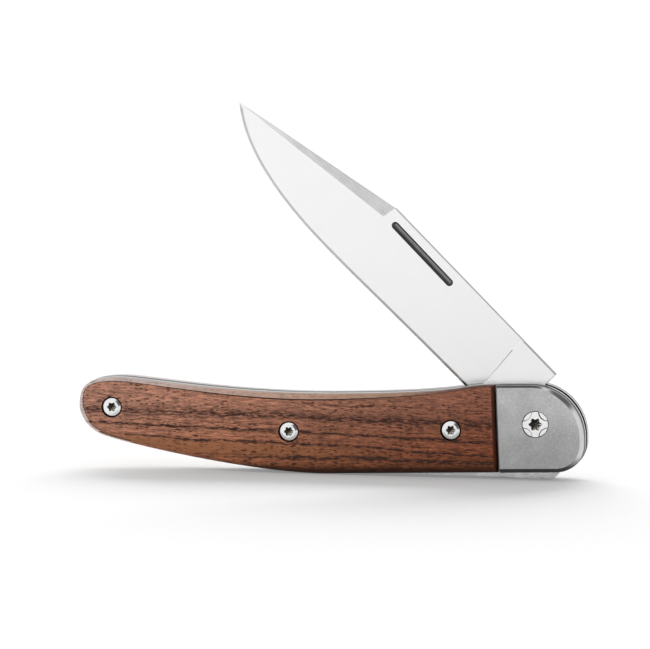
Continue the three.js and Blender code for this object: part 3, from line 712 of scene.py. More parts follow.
# The face, the bevels with their painted sheen, and the underside, end and corner in painted shade
WOOD = [
    make_wood("oiled_brown_wood", WOOD_FACE, contrast=1.4, top_sheen=0.02),
    make_wood("wood_bevel_painted_sheen", WOOD_BEVEL_SHEEN, contrast=0.5),
    make_wood("wood_underside_painted_shade", WOOD_LOW_SHADE, low_shade=1.0, contrast=0.6, top_sheen=0.0),
    make_wood("end_grain_painted_shade", WOOD_END_SHADE, low_shade=1.0, contrast=0.5, top_sheen=0.004),
    make_wood("wood_corner_painted_shade", WOOD_CORNER_SHADE, low_shade=1.0, contrast=0.5, top_sheen=0.004),
]
FACE, BEVEL, LOW, END, CORNER = range(5)

# The bolster's blasted face is painted darker towards the bottom as painted shade, and its chamfer
# nearly black at the bottom as a painted reflection of the shadow below; its sides are painted nearly
# black as shade, and the chamfer's edge by the wood is lighter as a painted highlight
blasted = steel("bead_blasted_steel", (2, -8, 0.445, 6, 0.55), 0.5, 4.5, EVEN, 0.02, clouds=0.3)
machined = steel("machined_steel_chamfer", (2, -8.9, 0.08, -6.6, 0.6), 0.2, 5, EVEN, 0.002, clouds=0.1)
milled = steel("milled_side_painted_shade", 0.05, 0.34, 5, (1, 3, 1), 0.003, clouds=0.12)
bright_edge = steel("deburred_edge_painted_highlight", 0.55, 0.3, 5, EVEN, 0.002)
# The liner is painted nearly black at its bolster end as painted shade
liner_metal = steel("satin_liner_steel", (0, -9, 0.7, -7, 0.08), 0.34, 4, (0.2, 1, 3), 0.003)
liner_rim = steel("punched_liner_edge", 0.66, 0.34, 5, (0.3, 2, 1), 0.004, clouds=0.14)
spring_metal = steel("drawn_spring_steel", 0.74, 0.3, 2, (0.3, 1, 1.6), 0.006, clouds=0.34)
# The spring's edges are painted dark as painted shade
spring_edge = steel("spring_edge_painted_shade", 0.1, 0.35, 3, (0.15, 2, 2), 0.003, clouds=0.1)
polished = steel("polished_screw_steel", 0.82, 0.16, 6, EVEN, 0.001, clouds=0.05)
socket_metal = socket_steel("broached_socket_painted_light")
recess_metal = steel("shaded_recess_steel", 0.06, 0.5, 5, EVEN, 0.003)
bronze = steel("rolled_washer_bronze", 0.62, 0.34, 4, EVEN, 0.003, tint=(1, 0.72, 0.4))

# The blade: its flats, swedge, edge and back, and the pull's wall and floor. The flats are painted
# lighter towards the tip and the swedge darker towards it, as painted reflection; the pull's wall and
# floor are painted shade
FLAT_TONES, SWEDGE_TONES = (0, 8, 0.83, 89, 0.9), (0, 54, 0.98, 88, 0.78)
BLADE_FINISHES = [
    steel("satin_blade_steel", FLAT_TONES, 0.24, 3.5, (3, 1, 0.08), 0.0008, BLADE_FRAME, 0.02),
    steel("ground_swedge_steel", SWEDGE_TONES, 0.3, 3, (0.12, 1, 3), 0.004, BLADE_FRAME, 0.16),
    steel("sharpened_edge_steel", 0.52, 0.28, 3, (5, 1, 0.4), 0.003, BLADE_FRAME, 0.08),
    steel("ground_spine_steel", 0.3, 0.36, 3, (0.2, 3, 1), 0.003, BLADE_FRAME, 0.1),
    steel("pull_wall_painted_shade", 0.075, 0.4, 3, (0.1, 1, 1), 0.003, BLADE_FRAME, 0.15),
    steel("pull_floor_painted_shade", 0.21, 0.38, 3, (0.15, 1, 3), 0.004, BLADE_FRAME, 0.2),
]
FLAT, SWEDGE, SHARP, SPINE_BACK, PULL_WALL, PULL_BOTTOM = range(6)

# Liners


def liner_piece(side, word):
    outline = liner_outline()
    plate = loft("liner", [at_depth(outline, SLOT_HALF, side), at_depth(outline, LINER_FACE, side)], [1])
    dress(plate, [liner_metal, liner_rim])
    through = (SLOT_HALF - PAST, LINER_FACE + PAST)
    bores = [((0, 0), BARREL_RADIUS), (MIDDLE_PIN, PIN_RADIUS), (TAIL_PIN, PIN_RADIUS)]
    bores += [(place, SCREW_SHANK) for place in SCREW_PLACES]
    holes = [drum(place, radius + FIT, *through, side) for place, radius in bores]
    countersink = [
        (SMALL_HEAD + FIT, through[0]),
        (SMALL_HEAD + FIT, SLOT_HALF + SMALL_SUNK),
        (SMALL_SHANK + FIT, SLOT_HALF + SMALL_SUNK + SMALL_HEAD - SMALL_SHANK),
        (SMALL_SHANK + FIT, through[1]),
    ]
    holes += [lathe(place, countersink, side, SMALL_STEPS) for place in SMALL_PLACES]
    cut(plate, holes)
    soften(plate, LINER_BREAK)
    finish(plate, f"{word}_liner_plate", [f"{word}_liner"])


# Bolsters

PIVOT_SEAT = SIDE_FACE - PIVOT_SUNK - PIVOT_HEAD_HEIGHT
BOLSTER_FINISHES = [blasted, machined, recess_metal, milled, bright_edge]
CHAMFER, RECESS, RIM, JOINT_EDGE = range(1, 5)


def bolster_piece(side, word):
    outer = inset(nose_outline(), lambda *edge: METAL_RIM)

    def width_of(a, b, inward):
        if inward.x > 0.9:
            return CHAMFER_JOINT
        return lerp(CHAMFER_NOSE, CHAMFER_TOP, smooth(-inward.y, 0.8, 1))

    face = inset(outer, width_of)
    depths = [SIDE_FACE - min((p - q).length, CHAMFER_NOSE) for p, q in zip(outer, face)]
    wall = [at_depth(outer, LINER_FACE, side), at_depth(outer, depths, side)]
    block = loft("bolster", [*wall, at_depth(face, SIDE_FACE, side)], [RIM, CHAMFER])
    # The chamfer's faces that look towards the wood take the painted highlight
    for polygon in list(block.data.polygons)[len(outer) :]:
        if polygon.material_index == CHAMFER and polygon.normal.x < -0.5:
            polygon.material_index = JOINT_EDGE
    dress(block, BOLSTER_FINISHES)
    inner, hole_end = LINER_FACE - PAST, LINER_FACE + SMALL_GRIP + SMALL_END_GAP
    holes = [
        drum((0, 0), BARREL_RADIUS + FIT, inner, SIDE_FACE, side),
        drum((0, 0), PIVOT_HEAD + PIVOT_RING, PIVOT_SEAT, SIDE_FACE + PAST, side, FINE_STEPS),
        *(drum(p, SMALL_SHANK + FIT, inner, hole_end, side, SMALL_STEPS) for p in SMALL_PLACES),
    ]
    for hole in holes:
        cut(block, [tinted(hole, RECESS)])
    soften(block, BOLSTER_BREAK)
    finish(block, f"{word}_bolster_block", [f"{word}_bolster"])


# Scales

SCREW_FACE = SIDE_FACE - SCREW_SUNK
SCALE_SEAT = SCREW_FACE - SCREW_HEAD_HEIGHT


def bevel_at(x):
    """How wide the bevel along the top is: widest at the middle, and narrow at both ends."""
    if x > BEVEL_WIDEST_X:
        return lerp(BEVEL_SHOULDER, BEVEL_WAIST, smooth(JOINT_X - x, 0, JOINT_X - BEVEL_WIDEST_X))
    return lerp(BEVEL_WAIST, BEVEL_BUTT, smooth(BEVEL_WIDEST_X - x, 0, BEVEL_WIDEST_X - CREST[0]))


def scale_slot(band, last, p, q):
    """Which finish a face has: the end by the bolster in painted shade, the bevel with its painted
    sheen, its corner as a line of painted shade, or the underside in painted shade.
    """
    if abs(p.x - q.x) < abs(p.y - q.y) and p.x > CREST[0] / 2:
        return END
    if p.y > BUTT[1] and q.y > BUTT[1] - 1:
        return CORNER if band == last else BEVEL
    if p.x < HEEL[0] + 8:
        pale = round(remap(p.y, BUTT[1], HEEL[1] - 3, last - 1, 1))
        return BEVEL if band <= pale else CORNER if band == pale + 1 else FACE
    return LOW if band < 2 else FACE


def scale_piece(side, word):
    outer = inset(grip_outline(), lambda *edge: WOOD_RIM)

    def width_of(a, b, inward):
        if inward.x < -0.9:
            return BEVEL_JOINT
        return lerp(BEVEL_BOTTOM, bevel_at((a.x + b.x) / 2), smooth(-inward.y, -0.5, 0.5))

    face = inset(outer, width_of)
    drop = [min((p - q).length, BEVEL_BOTTOM) for p, q in zip(outer, face)]
    rings = [at_depth(outer, LINER_FACE, side), at_depth(outer, [SIDE_FACE - d for d in drop], side)]
    # The bottom is round, and the top a flat bevel that ends at a crisp corner
    for share in BEVEL_SHARES:
        along, up = [], []
        for p, q, d in zip(outer, face, drop):
            roundness = BEVEL_ROUNDNESS * smooth(BUTT[1] - p.y, 0, BUTT[1] - HEEL[1])
            along.append(p.lerp(q, lerp(share, 1 - math.cos(share * math.pi / 2), roundness)))
            up.append(SIDE_FACE - (1 - lerp(share, math.sin(share * math.pi / 2), roundness)) * d)
        rings.append(at_depth(along, up, side))
    rings.append(at_depth(face, SIDE_FACE, side))
    board = loft("scale", rings)
    last = len(rings) - 2
    around = list(zip(outer, outer[1:] + outer[:1]))
    slots = [scale_slot(band, last, p, q) for band in range(last + 1) for p, q in around]
    board.data.polygons.foreach_set("material_index", [*slots, FACE, FACE])
    dress(board, WOOD)
    for place in SCREW_PLACES:
        cut(board, [drum(place, SCREW_SHANK + FIT, LINER_FACE - PAST, SIDE_FACE, side, SMALL_STEPS)])
        # The counterbore round each screw takes the corner's dark tone as painted shade
        recess = drum(place, SCREW_HEAD + SCREW_RING, SCALE_SEAT, SIDE_FACE + PAST, side)
        cut(board, [tinted(recess, CORNER)])
    soften(board, WOOD_BREAK, 35)
    finish(board, f"{word}_wood_scale", [f"{word}_scale"], 28)


# Pivot: the screw in front, and the barrel with its flange behind


def pivot_piece(side, node):
    face = SIDE_FACE - PIVOT_SUNK
    if side > 0:
        end, shank = PIVOT_SEAT - PIVOT_SHANK_LENGTH, PIVOT_SHANK
    else:
        end, shank = -(PIVOT_SEAT - BARREL_END_GAP), BARREL_RADIUS
    profile = [(shank, end), (shank, PIVOT_SEAT), (PIVOT_HEAD, PIVOT_SEAT), (PIVOT_HEAD, face)]
    head = dress(lathe((0, 0), profile, side, FINE_STEPS), [polished, socket_metal])
    # A scallop's radius follows from how wide it is at the rim and how far in it reaches
    chord = PIVOT_HEAD * math.sin(math.radians(SCALLOP_HALF_ANGLE))
    sagitta = PIVOT_HEAD * math.cos(math.radians(SCALLOP_HALF_ANGLE)) - SCALLOP_INNER
    radius = (chord**2 + sagitta**2) / (2 * sagitta)
    mouth = radius + SCALLOP_SLOPE
    for turn in (45, 135, 225, 315):
        middle = heading(turn) * (SCALLOP_INNER + mouth)
        profile = [(radius, face - SCALLOP_DEPTH), (mouth, face), (mouth, face + PAST)]
        cut(head, [lathe(middle, profile, side, FINE_STEPS, [1, 1])])
    if side < 0:
        bore_end = end + BARREL_BORE + PIVOT_HEAD_HEIGHT
        cut(head, [drum((0, 0), PIVOT_SHANK + FIT, end - PAST, bore_end, side)])
    soften(head, PIVOT_BREAK, 40)
    cut(head, [tinted(socket((0, 0), PIVOT_SOCKET, face - PIVOT_SOCKET_DEPTH, face, side), 1)])
    finish(head, f"{node}_body", [node], 32)


# Scale screws: one tree turns a profile round its axis, and puts it at each place

TURNED_SIZES = {"End": 1.6, "Shank": 1.0, "Seat": 4.45, "Head": 1.85, "Rim": 5.05, "Crown": 1.3}
TURNED_SIZES |= {"Face": 5.45, "Socket": 0.95, "Socket Floor": 4.75, "Lobes": LOBE_WAVE, "Corner": 0.07}
TURNED_STEPS = 72

# The profile stops this short of the axis, and its corners merge within this distance
AXIS_GAP, MERGED = 0.02, 0.0005


def turned_tree():
    group = bpy.data.node_groups.new("turned_fastener", "GeometryNodeTree")

    def entry(name, kind, side="INPUT"):
        return group.interface.new_socket(name, in_out=side, socket_type=f"NodeSocket{kind}")

    entry("Places", "Geometry")
    for name, size in TURNED_SIZES.items():
        entry(name, "Float").default_value = size
    entry("Steps", "Int").default_value = TURNED_STEPS
    entry("Finish", "Material")
    entry("Socket Finish", "Material")
    entry("Fasteners", "Geometry", "OUTPUT")
    t = Tree(group)
    given = list(t.add("NodeGroupInput").outputs)[:-1]
    places, end, shank, seat, head, rim, crown, face, hole, floor, wave, corner, steps, *metals = given

    # Radius, depth and share of lobes for each ring, from the shank's end to the socket's floor
    profile = [
        (AXIS_GAP, end, 0),
        (t.minus(shank, corner), end, 0),
        (shank, t.plus(end, corner), 0),
        (shank, seat, 0),
        (t.minus(head, corner), seat, 0),
        (head, t.plus(seat, corner), 0),
        (head, t.minus(rim, corner), 0),
        (t.minus(head, t.times(corner, 0.5)), rim, 0),
        (t.plus(crown, corner), t.minus(face, t.times(corner, 0.6)), 0),
        (t.minus(crown, corner), face, 0),
        (t.times(hole, 1.1), face, 1),
        (hole, t.minus(face, corner), 1),
        (hole, floor, 1),
        (AXIS_GAP, t.minus(floor, t.times(hole, SOCKET_CONE)), 0),
    ]
    grid = t.add("GeometryNodeMeshGrid", 1.0, 1.0, t.plus(steps, 1), len(profile))
    across, up, _ = t.add("ShaderNodeSeparateXYZ", t.add("GeometryNodeInputPosition").outputs[0]).outputs
    angle = t.times(t.plus(across, 0.5), 2 * math.pi)
    row = t.math("ROUND", t.times(t.plus(up, 0.5), len(profile) - 1))

    def pick(column):
        switch = t.add("GeometryNodeIndexSwitch", data_type="FLOAT")
        while len(switch.index_switch_items) < len(profile):
            switch.index_switch_items.new()
        t.give(switch.inputs["Index"], row)
        for i, ring in enumerate(profile):
            t.give(switch.inputs[str(i)], ring[column])
        return switch.outputs[0]

    radius, depth, lobes = pick(0), pick(1), pick(2)
    ripple = t.minus(t.math("COSINE", t.times(angle, LOBES)), 1)
    reach = t.times(radius, t.plus(t.times(ripple, wave, lobes), 1))
    point = t.add(
        "ShaderNodeCombineXYZ",
        t.times(reach, t.math("COSINE", angle)),
        t.times(depth, -1),
        t.times(reach, t.math("SINE", angle)),
    )
    moved = t.add("GeometryNodeSetPosition", grid.outputs["Mesh"], None, point.outputs[0])
    whole = t.value(t.add("GeometryNodeMergeByDistance", moved.outputs[0]), Distance=MERGED)

    # The socket's faces lie inside the crown
    x, y, z = t.add("ShaderNodeSeparateXYZ", t.add("GeometryNodeInputPosition").outputs[0]).outputs
    span = t.math("SQRT", t.plus(t.math("POWER", x, 2), t.math("POWER", z, 2)))
    inside = t.math("LESS_THAN", span, t.times(hole, 1.02))
    outwards = t.math("GREATER_THAN", t.times(y, -1), seat)
    marked = t.add("GeometryNodeStoreNamedAttribute", data_type="FLOAT", domain="FACE")
    t.value(marked, Geometry=whole.outputs[0], Name="in_socket", Value=t.times(inside, outwards))
    turn = t.add("GeometryNodeInputNamedAttribute", "turn", data_type="FLOAT")
    spin = t.add("ShaderNodeCombineXYZ", 0.0, 0.0, turn.outputs["Attribute"])
    placed = t.add("GeometryNodeInstanceOnPoints")
    t.value(placed, Points=places, Instance=marked.outputs[0], Rotation=spin.outputs[0])
    metalled = t.add("GeometryNodeRealizeInstances", placed.outputs[0])
    mark = t.add("GeometryNodeInputNamedAttribute", "in_socket", data_type="FLOAT")
    for chosen, metal in zip((None, mark.outputs["Attribute"]), metals):
        metalled = t.add("GeometryNodeSetMaterial", metalled.outputs[0], chosen, metal)
    t.give(t.add("NodeGroupOutput").inputs[0], metalled.outputs[0])
    return group


TURNED = turned_tree()


def turned_piece(name, nodes, slot, places, materials, **sizes):
    """One mesh of fasteners. A place is (x, z, side), and side -1 is turned round to the rear."""
    mesh = bpy.data.meshes.new(name)
    mesh.from_pydata([(x, 0, z) for x, z, _ in places], [], [])
    turn = mesh.attributes.new("turn", "FLOAT", "POINT")
    turn.data.foreach_set("value", [0 if side > 0 else math.pi for _, _, side in places])
    thing = new_object(name, mesh)
    step = thing.modifiers.new("turned", "NODES")
    step.node_group = TURNED
    keys = {s.name: s.identifier for s in TURNED.interface.items_tree if s.in_out == "INPUT"}
    for key, value in sizes.items():
        step[keys[key.replace("_", " ")]] = value
    step[keys["Finish"]], step[keys["Socket Finish"]] = materials
    applied(thing)
    bm = bmesh.new()
    bm.from_mesh(thing.data)
    bmesh.ops.holes_fill(bm, edges=[e for e in bm.edges if e.is_boundary], sides=0)
    bmesh.ops.recalc_face_normals(bm, faces=bm.faces)
    bm.to_mesh(thing.data)
    bm.free()
    thing.data.attributes.remove(thing.data.attributes["in_socket"])
    finish(thing, name, nodes, 32)


# Blade


def plunge_at(rise):
    return PLUNGE_X + rise * math.tan(math.radians(PLUNGE_LEAN))


def corner_radius(half_angle):
    return TANG_HALF - CORNER_LIFT / (1 / math.cos(math.radians(half_angle)) - 1)


def tang_outline():
    closed_heading = 90 + CLOSED_LIE
    normal = heading(closed_heading)
    kick = (KICK_X, (TANG_HALF - normal.x * KICK_X) / normal.y)
    closed_centre = TANG_HALF - corner_radius((180 - closed_heading) / 2)
    open_centre = TANG_HALF - corner_radius(45)
    corner = (-closed_centre, closed_centre * (1 + normal.x) / normal.y)
    path = Outline((plunge_at(SPINE) - TANG_LAP, -SPINE))
    path.line((plunge_at(-RICASSO_EDGE) - TANG_LAP, RICASSO_EDGE))
    path.line((KICK_X + KICK_LENGTH, RICASSO_EDGE))
    path.sweep(180, KICK_LENGTH / 2, kick, 135, KICK_LENGTH / 4, 10)
    path.arc(corner, TANG_HALF - closed_centre, closed_heading, 180, 16)
    path.arc((-open_centre, -open_centre), TANG_HALF - open_centre, 180, 270, 16)
    path.line((BLADE_HEEL_X, -TANG_HALF))
    path.line((BLADE_HEEL_X, -SPINE))
    return path.closed()


EDGE_LINE = Outline((0, -RICASSO_EDGE))
EDGE_LINE.sweep(0, EDGE_EASE, EDGE_BELLY, 0, EDGE_BELLY_EASES[0], 60)
EDGE_LINE.sweep(0, EDGE_BELLY_EASES[1], TIP, TIP_HEADING, TIP_EASE, 60)
EDGE_LINE.line((TIP[0] + 1, TIP[1]))


def edge_rise(x):
    for a, b in zip(EDGE_LINE.points, EDGE_LINE.points[1:]):
        if b.x >= x:
            return remap(x, a.x, b.x, a.y, b.y)
    return EDGE_LINE.points[-1].y


def clipped_rise(x, begin, rise):
    """A line level as far as begin, and from there straight to the tip."""
    return rise if x < begin else remap(x, begin, TIP[0], rise, TIP[1])


def ground_section(back_x, x):
    """The back at back_x, then swedge, bevel and edge at x: place, rise and half thickness of each."""
    edge = edge_rise(x)
    slope = (edge_rise(x + 0.1) - edge_rise(x - 0.1)) / 0.2
    swedge = clipped_rise(x, SWEDGE_X, SWEDGE_RISE)
    bevel = edge + min(EDGE_BEVEL * math.hypot(1, slope), (swedge - edge) / 2)
    thinning = min(1, (TIP[0] + POINT_END - x) / POINT_LENGTH)

    def flat_half(rise):
        return thinning * remap(rise, bevel, SPINE, BEVEL_HALF, BLADE_HALF)

    back_half = BLADE_HALF
    if back_x > CLIP_X:
        back_half = min(SWEDGE_SPINE_HALF, SWEDGE_SPINE_SHARE * flat_half(swedge))
    return [
        (back_x, clipped_rise(back_x, CLIP_X, SPINE), back_half),
        (x, swedge, flat_half(swedge)),
        (x, bevel, flat_half(bevel)),
        (x, edge, EDGE_HALF),
    ]


def section_ring(points):
    near = [Vector((x, -half, -rise)) for x, rise, half in points]
    far = [Vector((x, half, -rise)) for x, rise, half in reversed(points)]
    return near + far


def blade_sections():
    rises = (SPINE, SWEDGE_RISE, EDGE_BEVEL - RICASSO_EDGE, -RICASSO_EDGE)
    heel = [(plunge_at(rise), rise, BLADE_HALF) for rise in rises]
    sections = [[(x - 2 * TANG_LAP, rise, half) for x, rise, half in heel], heel]
    # The plunge is a short ramp that eases in and out
    first = ground_section(PLUNGE_X, PLUNGE_X)
    for share in PLUNGE_SHARES:
        run, eased = PLUNGE_LENGTH * share, smooth(share, 0, 1)
        sections.append([(plunge_at(r) + run, r, lerp(BLADE_HALF, half, eased)) for _, r, half in first])
    for i in range(1, BODY_STEPS + 1):
        x = lerp(plunge_at(SPINE) + PLUNGE_LENGTH, CLIP_X, i / BODY_STEPS)
        sections.append(ground_section(x, x if i < BODY_STEPS else SWEDGE_X))
    end = TIP[0] - EDGE_HALF
    for i in range(POINT_STEPS):
        share = math.sin(i / POINT_STEPS * math.pi / 2)
        back_x, x = lerp(CLIP_X + 0.3, end, share), lerp(SWEDGE_X + 0.05, end, share)
        sections.append(ground_section(back_x, x))
    sections.append([(x, rise, EDGE_HALF) for x, rise, _ in ground_section(end, end)])
    return sections


def ground_blade():
    rings = [section_ring(section) for section in blade_sections()]
    count = len(rings[0])
    ground = 1 + len(PLUNGE_SHARES)

    def slot_of(band, i):
        if i == count - 1:
            return SPINE_BACK
        if i in (2, 3, 4) and band >= ground:
            return SHARP
        return SWEDGE if i in (0, 6) and band >= ground + BODY_STEPS else FLAT

    bm, rows = strips(rings, slot_of)
    for row in (rows[0], rows[-1]):
        for i in range(count // 2 - 1):
            bm.faces.new((row[i], row[i + 1], row[count - 2 - i], row[count - 1 - i]))
    return made("blade", bm)


def tang():
    outline = tang_outline()
    face = inset(outline, lambda a, b, n: 0 if n.x < -0.9 and a.x > PLUNGE_X - 2 else EDGE_BREAK)
    full = BLADE_HALF - EDGE_BREAK
    sides = [(face, -BLADE_HALF), (outline, -full), (outline, full), (face, BLADE_HALF)]
    return loft("tang", [at_depth(ring, depth) for ring, depth in sides], [SPINE_BACK] * 3)


def pull_groove():
    front = Vector((PULL_FRONT[0], -PULL_FRONT[1]))
    rear = front - heading(-PULL_LEAN) * PULL_LENGTH
    flat = remap(-rear.y, edge_rise(rear.x), SPINE, BEVEL_HALF, BLADE_HALF)

    def ring(width, depth, shift=0):
        a, b = front - Vector((0, shift)), rear - Vector((0, shift))
        path = Outline(a + heading(-90 - PULL_LEAN) * width / 2)
        path.arc(a, width / 2, -90 - PULL_LEAN, 90 - PULL_LEAN, 16)
        path.arc(b, width / 2, 90 - PULL_LEAN, 270 - PULL_LEAN, 16)
        return at_depth(path.closed(), depth)

    rings = [
        ring(PULL_WIDTH, BLADE_HALF + PAST),
        ring(PULL_WIDTH, flat + 0.05),
        ring(lerp(PULL_WIDTH, PULL_FLOOR, 0.55), flat - 0.6 * PULL_DEPTH, 0.55 * PULL_SHIFT),
        ring(PULL_FLOOR, flat - 0.93 * PULL_DEPTH, PULL_SHIFT),
        ring(PULL_FLOOR / 2, flat - PULL_DEPTH, PULL_SHIFT),
    ]
    groove = loft("pull", rings, [PULL_WALL, PULL_WALL, PULL_WALL, PULL_BOTTOM])
    groove.data.polygons[-1].material_index = PULL_BOTTOM
    return groove


def blade_piece():
    blade = dress(ground_blade(), BLADE_FINISHES)
    cut(blade, [tang()], "UNION")
    cut(blade, [drum((0, 0), BARREL_RADIUS + TURN_FIT, -BLADE_HALF - PAST, BLADE_HALF + PAST)])
    cut(blade, [pull_groove()])
    finish(blade, "clip_point_blade", ["blade"], 9, "blade", BLADE_FRAME)


# Backspring


def spring_outline():
    clamp_x = MIDDLE_PIN[0] + PIN_RADIUS
    tip_x = BLADE_HEEL_X - HEEL_GAP
    length = tip_x - clamp_x
    pad_z = -(TANG_HALF + TANG_GAP)

    def share(run):
        return run**2 * (3 * length - run) / (2 * length**3)

    lift = CORNER_LIFT / share(-clamp_x)
    neutral = -BACK + SPRING_LIMB / 2

    def bend(p):
        """Where a point of the straight spring goes when the tang's corner holds its end out."""
        run = max(0, p.x - clamp_x)
        slope = lift * (6 * length * run - 3 * run**2) / (2 * length**3)
        return Vector((p.x + (p.y - neutral) * slope, p.y - lift * share(run)))

    def thickness(x):
        rear = remap(x, HEEL[0], MIDDLE_PIN[0], SPRING_TAIL, SPRING_MIDDLE)
        limb = lerp(min(rear, SPRING_MIDDLE), SPRING_LIMB, smooth(x, clamp_x, LIMB_X))
        return lerp(limb, pad_z - back_at(x), smooth(x, PAD_X, PAD_X + PAD_RAMP))

    outer = trace_belly(Outline(HEEL)).closed()
    ramp_end = PAD_X + PAD_RAMP
    limb, ramp, pad = (BELLY[0], PAD_X), (PAD_X, ramp_end), (ramp_end, tip_x)
    for (begin, stop), steps in ((limb, LIMB_STEPS), (ramp, PAD_STEPS), (pad, PAD_STEPS)):
        xs = [lerp(begin, stop, i / steps) for i in range(1, steps + 1)]
        outer += [Vector((x, back_at(x))) for x in xs]
    inner = []
    for i, p in enumerate(outer):
        along = outer[min(i + 1, len(outer) - 1)] - outer[max(i - 1, 0)]
        inner.append(p + Vector((-along.y, along.x)).normalized() * thickness(p.x))
    toe = outer.pop()
    bevel = [toe - Vector((SPRING_TIP_BEVEL, 0)), toe + Vector((0, SPRING_TIP_BEVEL))]
    while outer[-1].x > bevel[0].x - 0.05:
        outer.pop()
    return [bend(p) for p in outer + bevel + inner[::-1]]


def spring_piece():
    points = spring_outline()
    bar = loft("spring", [at_depth(points, -SPRING_HALF), at_depth(points, SPRING_HALF)], [1])
    dress(bar, [spring_metal, spring_edge])
    cut(bar, [drum(p, PIN_RADIUS + FIT, -2, 2) for p in (MIDDLE_PIN, TAIL_PIN)])
    soften(bar, SPRING_BREAK)
    shade(bar)
    bar.data.transform(HANDLE_FRAME)
    bar.name = bar.data.name = "backspring_bar"
    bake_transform(bar)
    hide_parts("backspring")


for side, word, pivot in ((1, "front", "pivot_screw"), (-1, "rear", "pivot_barrel")):
    liner_piece(side, word)
    bolster_piece(side, word)
    scale_piece(side, word)
    pivot_piece(side, pivot)

turned_piece(
    "scale_screws",
    [f"{word}_scale_screw_{i}" for word in ("front", "rear") for i in (1, 2, 3)],
    "screw_steel",
    [(x, z, side) for side in (1, -1) for x, z in SCREW_PLACES],
    [polished, socket_metal],
    End=SLOT_HALF + SCREW_END_GAP,
    Shank=float(SCREW_SHANK),
    Seat=SCALE_SEAT,
    Head=SCREW_HEAD,
    Rim=SCREW_FACE - SCREW_CROWN_HEIGHT,
    Crown=SCREW_CROWN,
    Face=SCREW_FACE,
    Socket=SCREW_SOCKET,
    Socket_Floor=SCREW_FACE - SCREW_SOCKET_DEPTH,
)

blade_piece()
spring_piece()

# The other nodes keep their own meshes, with better metal
for material, nodes in (
    (bronze, ["front_pivot_washer", "rear_pivot_washer"]),
    (polished, ["middle_spring_pin", "tail_spring_pin"]),
    (polished, [f"{word}_bolster_screw_{i}" for word in ("front", "rear") for i in (1, 2)]),
):
    for node in nodes:
        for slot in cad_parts[node].material_slots:
            slot.material = material

# Camera: eight degrees to the right of the front and a little above. Its distance and target are in
# metres, and its focal length is known in the picture's pixels.

CAMERA_AZIMUTH, CAMERA_ELEVATION, CAMERA_ROLL, CAMERA_DISTANCE = 8.0, 4.3, 0.907, 1.1
CAMERA_TARGET = (-0.00207, 0, 0.03027)
FOCAL_LENGTH, PICTURE_WIDTH, SENSOR_WIDTH = 5373.5, 650, 36


def towards(azimuth, elevation):
    """The direction of a place seen from the knife: azimuth is counted from the front to the right."""
    a, e = math.radians(azimuth), math.radians(elevation)
    return Vector((math.sin(a) * math.cos(e), -math.cos(a) * math.cos(e), math.sin(e)))


def add_camera():
    back = towards(CAMERA_AZIMUTH, CAMERA_ELEVATION)
    level = (-back).cross(Vector((0, 0, 1))).normalized()
    upright = level.cross(-back)
    roll = heading(CAMERA_ROLL)
    right = level * roll.x + upright * roll.y
    up = upright * roll.x - level * roll.y
    data = bpy.data.cameras.new("camera")
    data.sensor_width = SENSOR_WIDTH
    data.lens = SENSOR_WIDTH * FOCAL_LENGTH / PICTURE_WIDTH
    data.clip_start, data.clip_end = 0.05, 50
    camera = new_object("camera", data)
    turned = Matrix((right, up, back)).transposed().to_4x4()
    camera.matrix_world = Matrix.Translation(Vector(CAMERA_TARGET) + back * CAMERA_DISTANCE) @ turned
    bpy.context.scene.camera = camera


add_camera()

# Studio: a pale floor, pale surroundings, and one soft lamp from behind that lights the floor alone. The
# floor's radius is in metres.

FLOOR_RADIUS, FLOOR_SPECKS, FLOOR_TONES, FLOOR_GLOW = 14, 900, (0.46, 0.48), 0.2

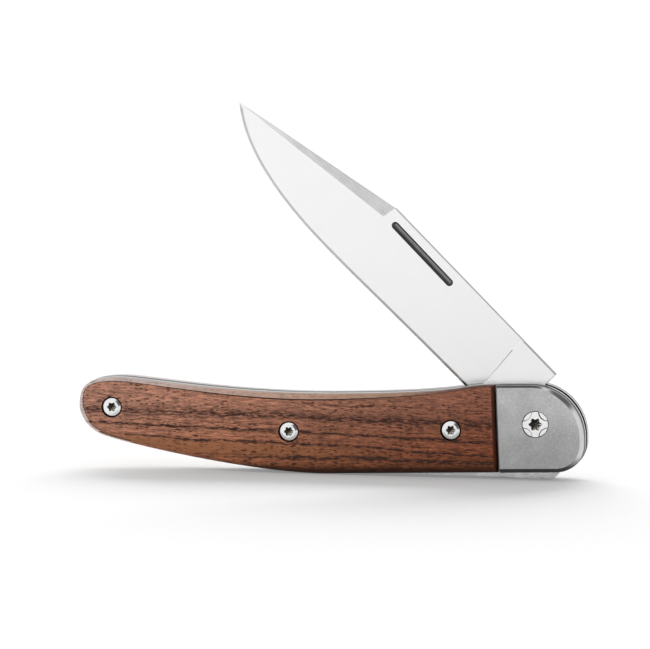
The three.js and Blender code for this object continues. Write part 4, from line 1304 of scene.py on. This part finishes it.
# Dark patches of the room, with their directions and the cosines at which each begins and is full: a gap
# overhead, a dark corner to the upper right, and the dark front of the room beside the camera
DARK_PATCHES = [
    ((-0.139, -0.075, 0.987), 0.93, 0.975),
    ((0.62, -0.15, 0.77), 0.945, 0.988),
    ((0.4, -0.88, 0.25), 0.935, 0.972),
]
WALL_LEVEL, PATCH_LEVEL = 1.0, 0.1


def add_floor():
    bm = bmesh.new()
    bmesh.ops.create_circle(bm, cap_ends=True, segments=96, radius=FLOOR_RADIUS)
    floor = made("floor", bm)
    look = Look("pale_floor")
    speck = look.noise(look.add("ShaderNodeTexCoord").outputs["Object"], FLOOR_SPECKS)
    tone = look.ramp(speck, [(0.3, grey(FLOOR_TONES[0])), (0.7, grey(FLOOR_TONES[1]))])
    look.value(look.shader, Base_Color=tone, Roughness=0.7, Specular_IOR_Level=0.0)
    look.value(look.shader, Emission_Color=(1, 1, 1, 1), Emission_Strength=FLOOR_GLOW)
    dress(floor, [look.material])
    return floor


def add_world():
    """White walls with three soft dark patches."""
    world = bpy.data.worlds.new("studio")
    world.use_nodes = True
    bpy.context.scene.world = world
    room = Tree(world.node_tree)
    seen = room.add("ShaderNodeTexCoord").outputs["Generated"]
    dark = 0.0
    for direction, begins, full in DARK_PATCHES:
        turned = room.facing(seen, Vector(direction).normalized())
        dark = room.math("MAXIMUM", dark, room.remap(turned, begins, full, smoothed=True))
    level = room.remap(dark, 0.0, 1.0, WALL_LEVEL, PATCH_LEVEL)
    room.value(world.node_tree.nodes["Background"], Color=(1, 1, 1, 1), Strength=level)
    bpy.context.scene.view_settings.view_transform = "Standard"


def add_sun(name, azimuth, elevation, spread, power):
    """A soft lamp at a long way off, which isn't seen in the metal."""
    data = bpy.data.lights.new(name, "SUN")
    data.angle = math.radians(spread)
    data.energy = power
    lamp = new_object(name, data)
    lamp.rotation_euler = (-towards(azimuth, elevation)).to_track_quat("-Z", "Y").to_euler()
    lamp.visible_glossy = False
    return lamp


def light_only(lamp, thing):
    """The lamp is flagged off from all but one piece, which still takes the others' shadows."""
    lit = bpy.data.collections.new(f"lit_by_{lamp.name}")
    lit.objects.link(thing)
    lamp.light_linking.receiver_collection = lit


floor = add_floor()
add_world()
light_only(add_sun("rear_softbox", azimuth=189, elevation=17, spread=56, power=9.6), floor)
